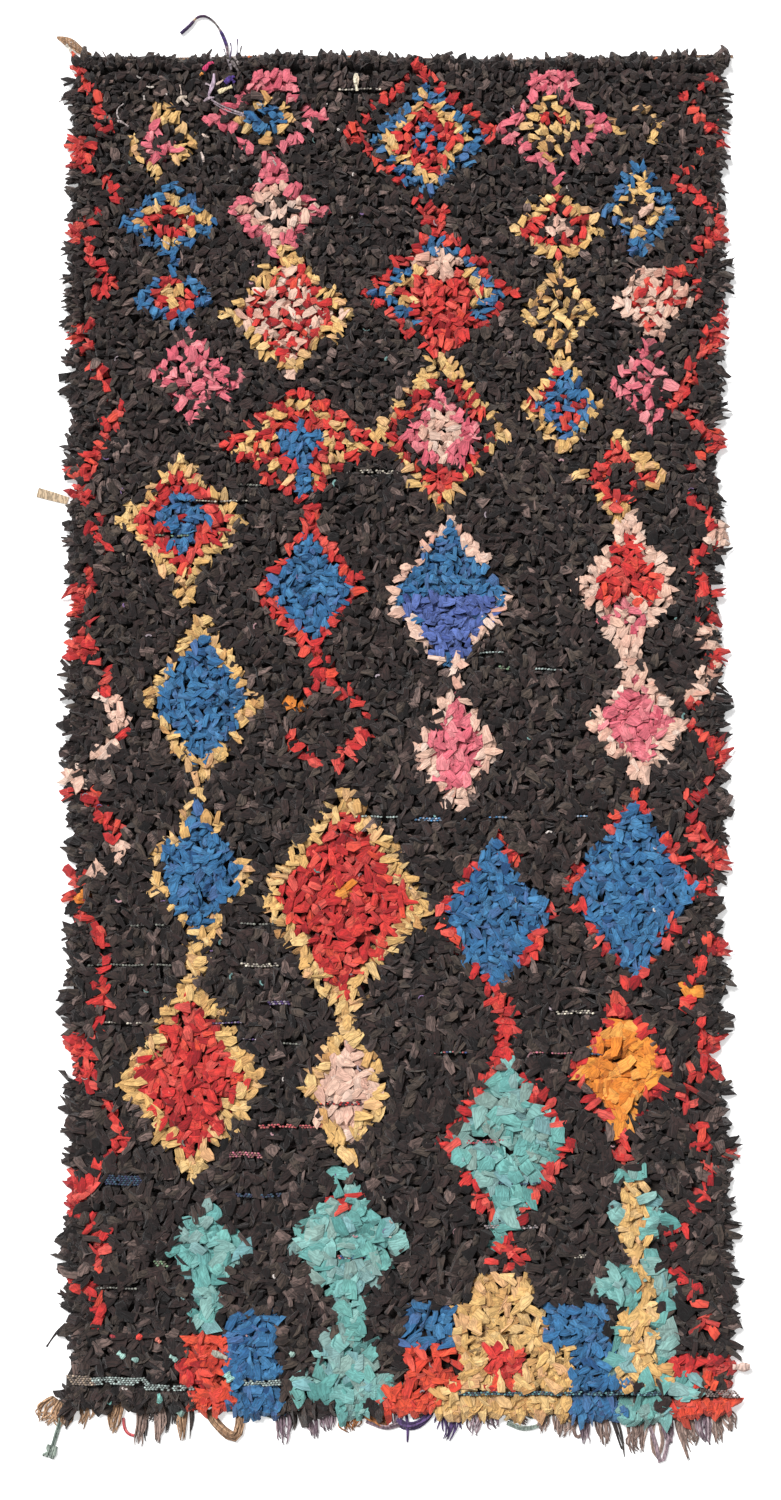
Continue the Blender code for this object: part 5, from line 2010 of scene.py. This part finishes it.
@dataclass
class BareWefts:
    """The weft picks that show where the pile parts."""

    material: bpy.types.Material
    pitch: float = 0.0065
    radius: float = 0.0023
    rise: float = 0.0262
    arch: float = 0.001
    weave: float = 0.0012
    waves: float = 70.0
    picked: float = 0.88
    slant: float = 0.25
    pick_length: float = 0.8
    steps: int = 4

    def build(self) -> bpy.types.Object:
        """Make each stretch as short picks in a row, their colours in turn.

        Returns:
            The piece.
        """
        rng = np.random.default_rng((SEED, 104))
        places, tones = [], []
        for weft in BARE_WEFTS:
            for row in range(weft.rows):
                across = np.arange(weft.left * CM, weft.right * CM, self.pitch)
                across = across[rng.random(len(across)) < self.picked] + row * self.pitch / 2
                along = weft.along * CM - WEFT_ROW * row + self.weave * np.sin(across * self.waves)
                places.append(np.stack([across, along], axis=1))
                picked = np.array(weft.tones, dtype=float)[np.arange(len(across)) % len(weft.tones)]
                tones.append(picked * rng.uniform(0.75, 1.05, (len(across), 1)))
        place = np.concatenate(places)
        share = np.linspace(-0.5, 0.5, self.steps)
        slant = rng.uniform(-self.slant, self.slant, len(place))
        paths = np.zeros((len(place), self.steps, 3))
        paths[..., 0] = place[:, 0:1] + share * self.pick_length * self.pitch
        paths[..., 1] = place[:, 1:2] + share * slant[:, None] * self.pitch
        paths[..., 2] = self.rise + self.arch * np.cos(np.pi * share)
        radii = self.radius * rng.uniform(0.7, 1.1, (len(place), 1)) * np.array([0.6, 1.0, 1.0, 0.6])
        dyes = linear(np.concatenate(tones))
        piece = tube_piece("bare_wefts", paths, radii, YARN_SIDES, self.material, dyes)
        seat(piece, "rag_pile")
        return piece


@dataclass
class Studio:
    """The pale floor, soft light and a camera straight above."""

    view_across: float = -0.0189
    view_along: float = -0.0326
    view_length: float = 3.15
    lens: float = 70.0
    film: float = 36.0
    floor_size: float = 12.0
    floor_depth: float = 0.001
    floor_grey: float = 0.9
    floor_glow: float = 0.42
    sky: float = 0.38
    lamp_power: float = 4.2
    lamp_angle: float = 0.35
    lamp_tilt: tuple[float, float, float] = (-32.0, -28.0, 0.0)

    def place_camera(self) -> bpy.types.Object:
        """Hang the camera above the rug, as high as the whole view needs.

        Returns:
            The camera.
        """
        data = bpy.data.cameras.new("view_from_above")
        data.lens = self.lens
        data.sensor_fit = "VERTICAL"
        data.sensor_height = self.film
        height = self.view_length * self.lens / self.film
        camera = bpy.data.objects.new("view_from_above", data)
        camera.location = (self.view_across, self.view_along, height)
        bpy.context.scene.collection.objects.link(camera)
        bpy.context.scene.camera = camera
        return camera

    def light(self) -> None:
        """Fill the room with even light and add one broad, gentle lamp from the upper left."""
        world = bpy.data.worlds.new("studio")
        world.use_nodes = True
        world.node_tree.nodes["Background"].inputs["Color"].default_value = (1.0, 1.0, 1.0, 1.0)
        world.node_tree.nodes["Background"].inputs["Strength"].default_value = self.sky
        bpy.context.scene.world = world
        lamp = bpy.data.lights.new("broad_lamp", "SUN")
        lamp.energy = self.lamp_power
        lamp.angle = self.lamp_angle
        holder = bpy.data.objects.new("broad_lamp", lamp)
        holder.rotation_euler = np.radians(self.lamp_tilt)
        bpy.context.scene.collection.objects.link(holder)
        bpy.context.scene.view_settings.view_transform = "Standard"

    def lay_floor(self) -> bpy.types.Object:
        """Lay the plain pale floor just under the rug.

        Returns:
            The floor.
        """
        half = self.floor_size / 2
        corners = np.array([(across, along, -self.floor_depth) for across, along
                            in ((-half, -half), (half, -half), (half, half), (-half, half))])
        material = bpy.data.materials.new("pale_floor")
        material.use_nodes = True
        shader = material.node_tree.nodes["Principled BSDF"]
        shader.inputs["Base Color"].default_value = (self.floor_grey, self.floor_grey, self.floor_grey, 1.0)
        shader.inputs["Roughness"].default_value = 0.9
        shader.inputs["Emission Color"].default_value = (1.0, 1.0, 1.0, 1.0)
        shader.inputs["Emission Strength"].default_value = self.floor_glow
        floor = new_piece("pale_floor", corners, [np.array([[0, 1, 2, 3]])], material)
        return floor


def main() -> None:
    """Build the rug piece by piece and report each."""
    logging.basicConfig(level=logging.INFO, format="%(name)s: %(message)s")
    studio = Studio()
    studio.place_camera()
    outline = FieldOutline(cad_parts["rag_pile"])
    cloth = rag_cloth_group()
    report(WrappedTie(outline, dyed_material("tie_wrap", cloth)).build())
    chart = PatternChart()
    knots = KnotLattice().set_out(outline, np.random.default_rng(SEED))
    rags, flare = chart.read(knots)
    for piece in RagPile(outline, knots, rags, flare, cloth).build():
        report(piece)
    report(GroundWeave(outline, chart, dyed_material("ground_weave", cloth)).build())
    for piece in TopHeading(outline, dyed_material("heading_yarn", cloth)).build():
        report(piece)
    for piece in Fringe(outline, dyed_material("fringe_yarn", cloth)).build():
        report(piece)
    report(EdgeTape(dyed_material("tape", cloth)).build())
    report(LooseRags(dyed_material("loose_rag", cloth)).build())
    report(BareWefts(dyed_material("bare_weft", cloth)).build())
    studio.light()
    studio.lay_floor()


if __name__ == "__main__":
    main()
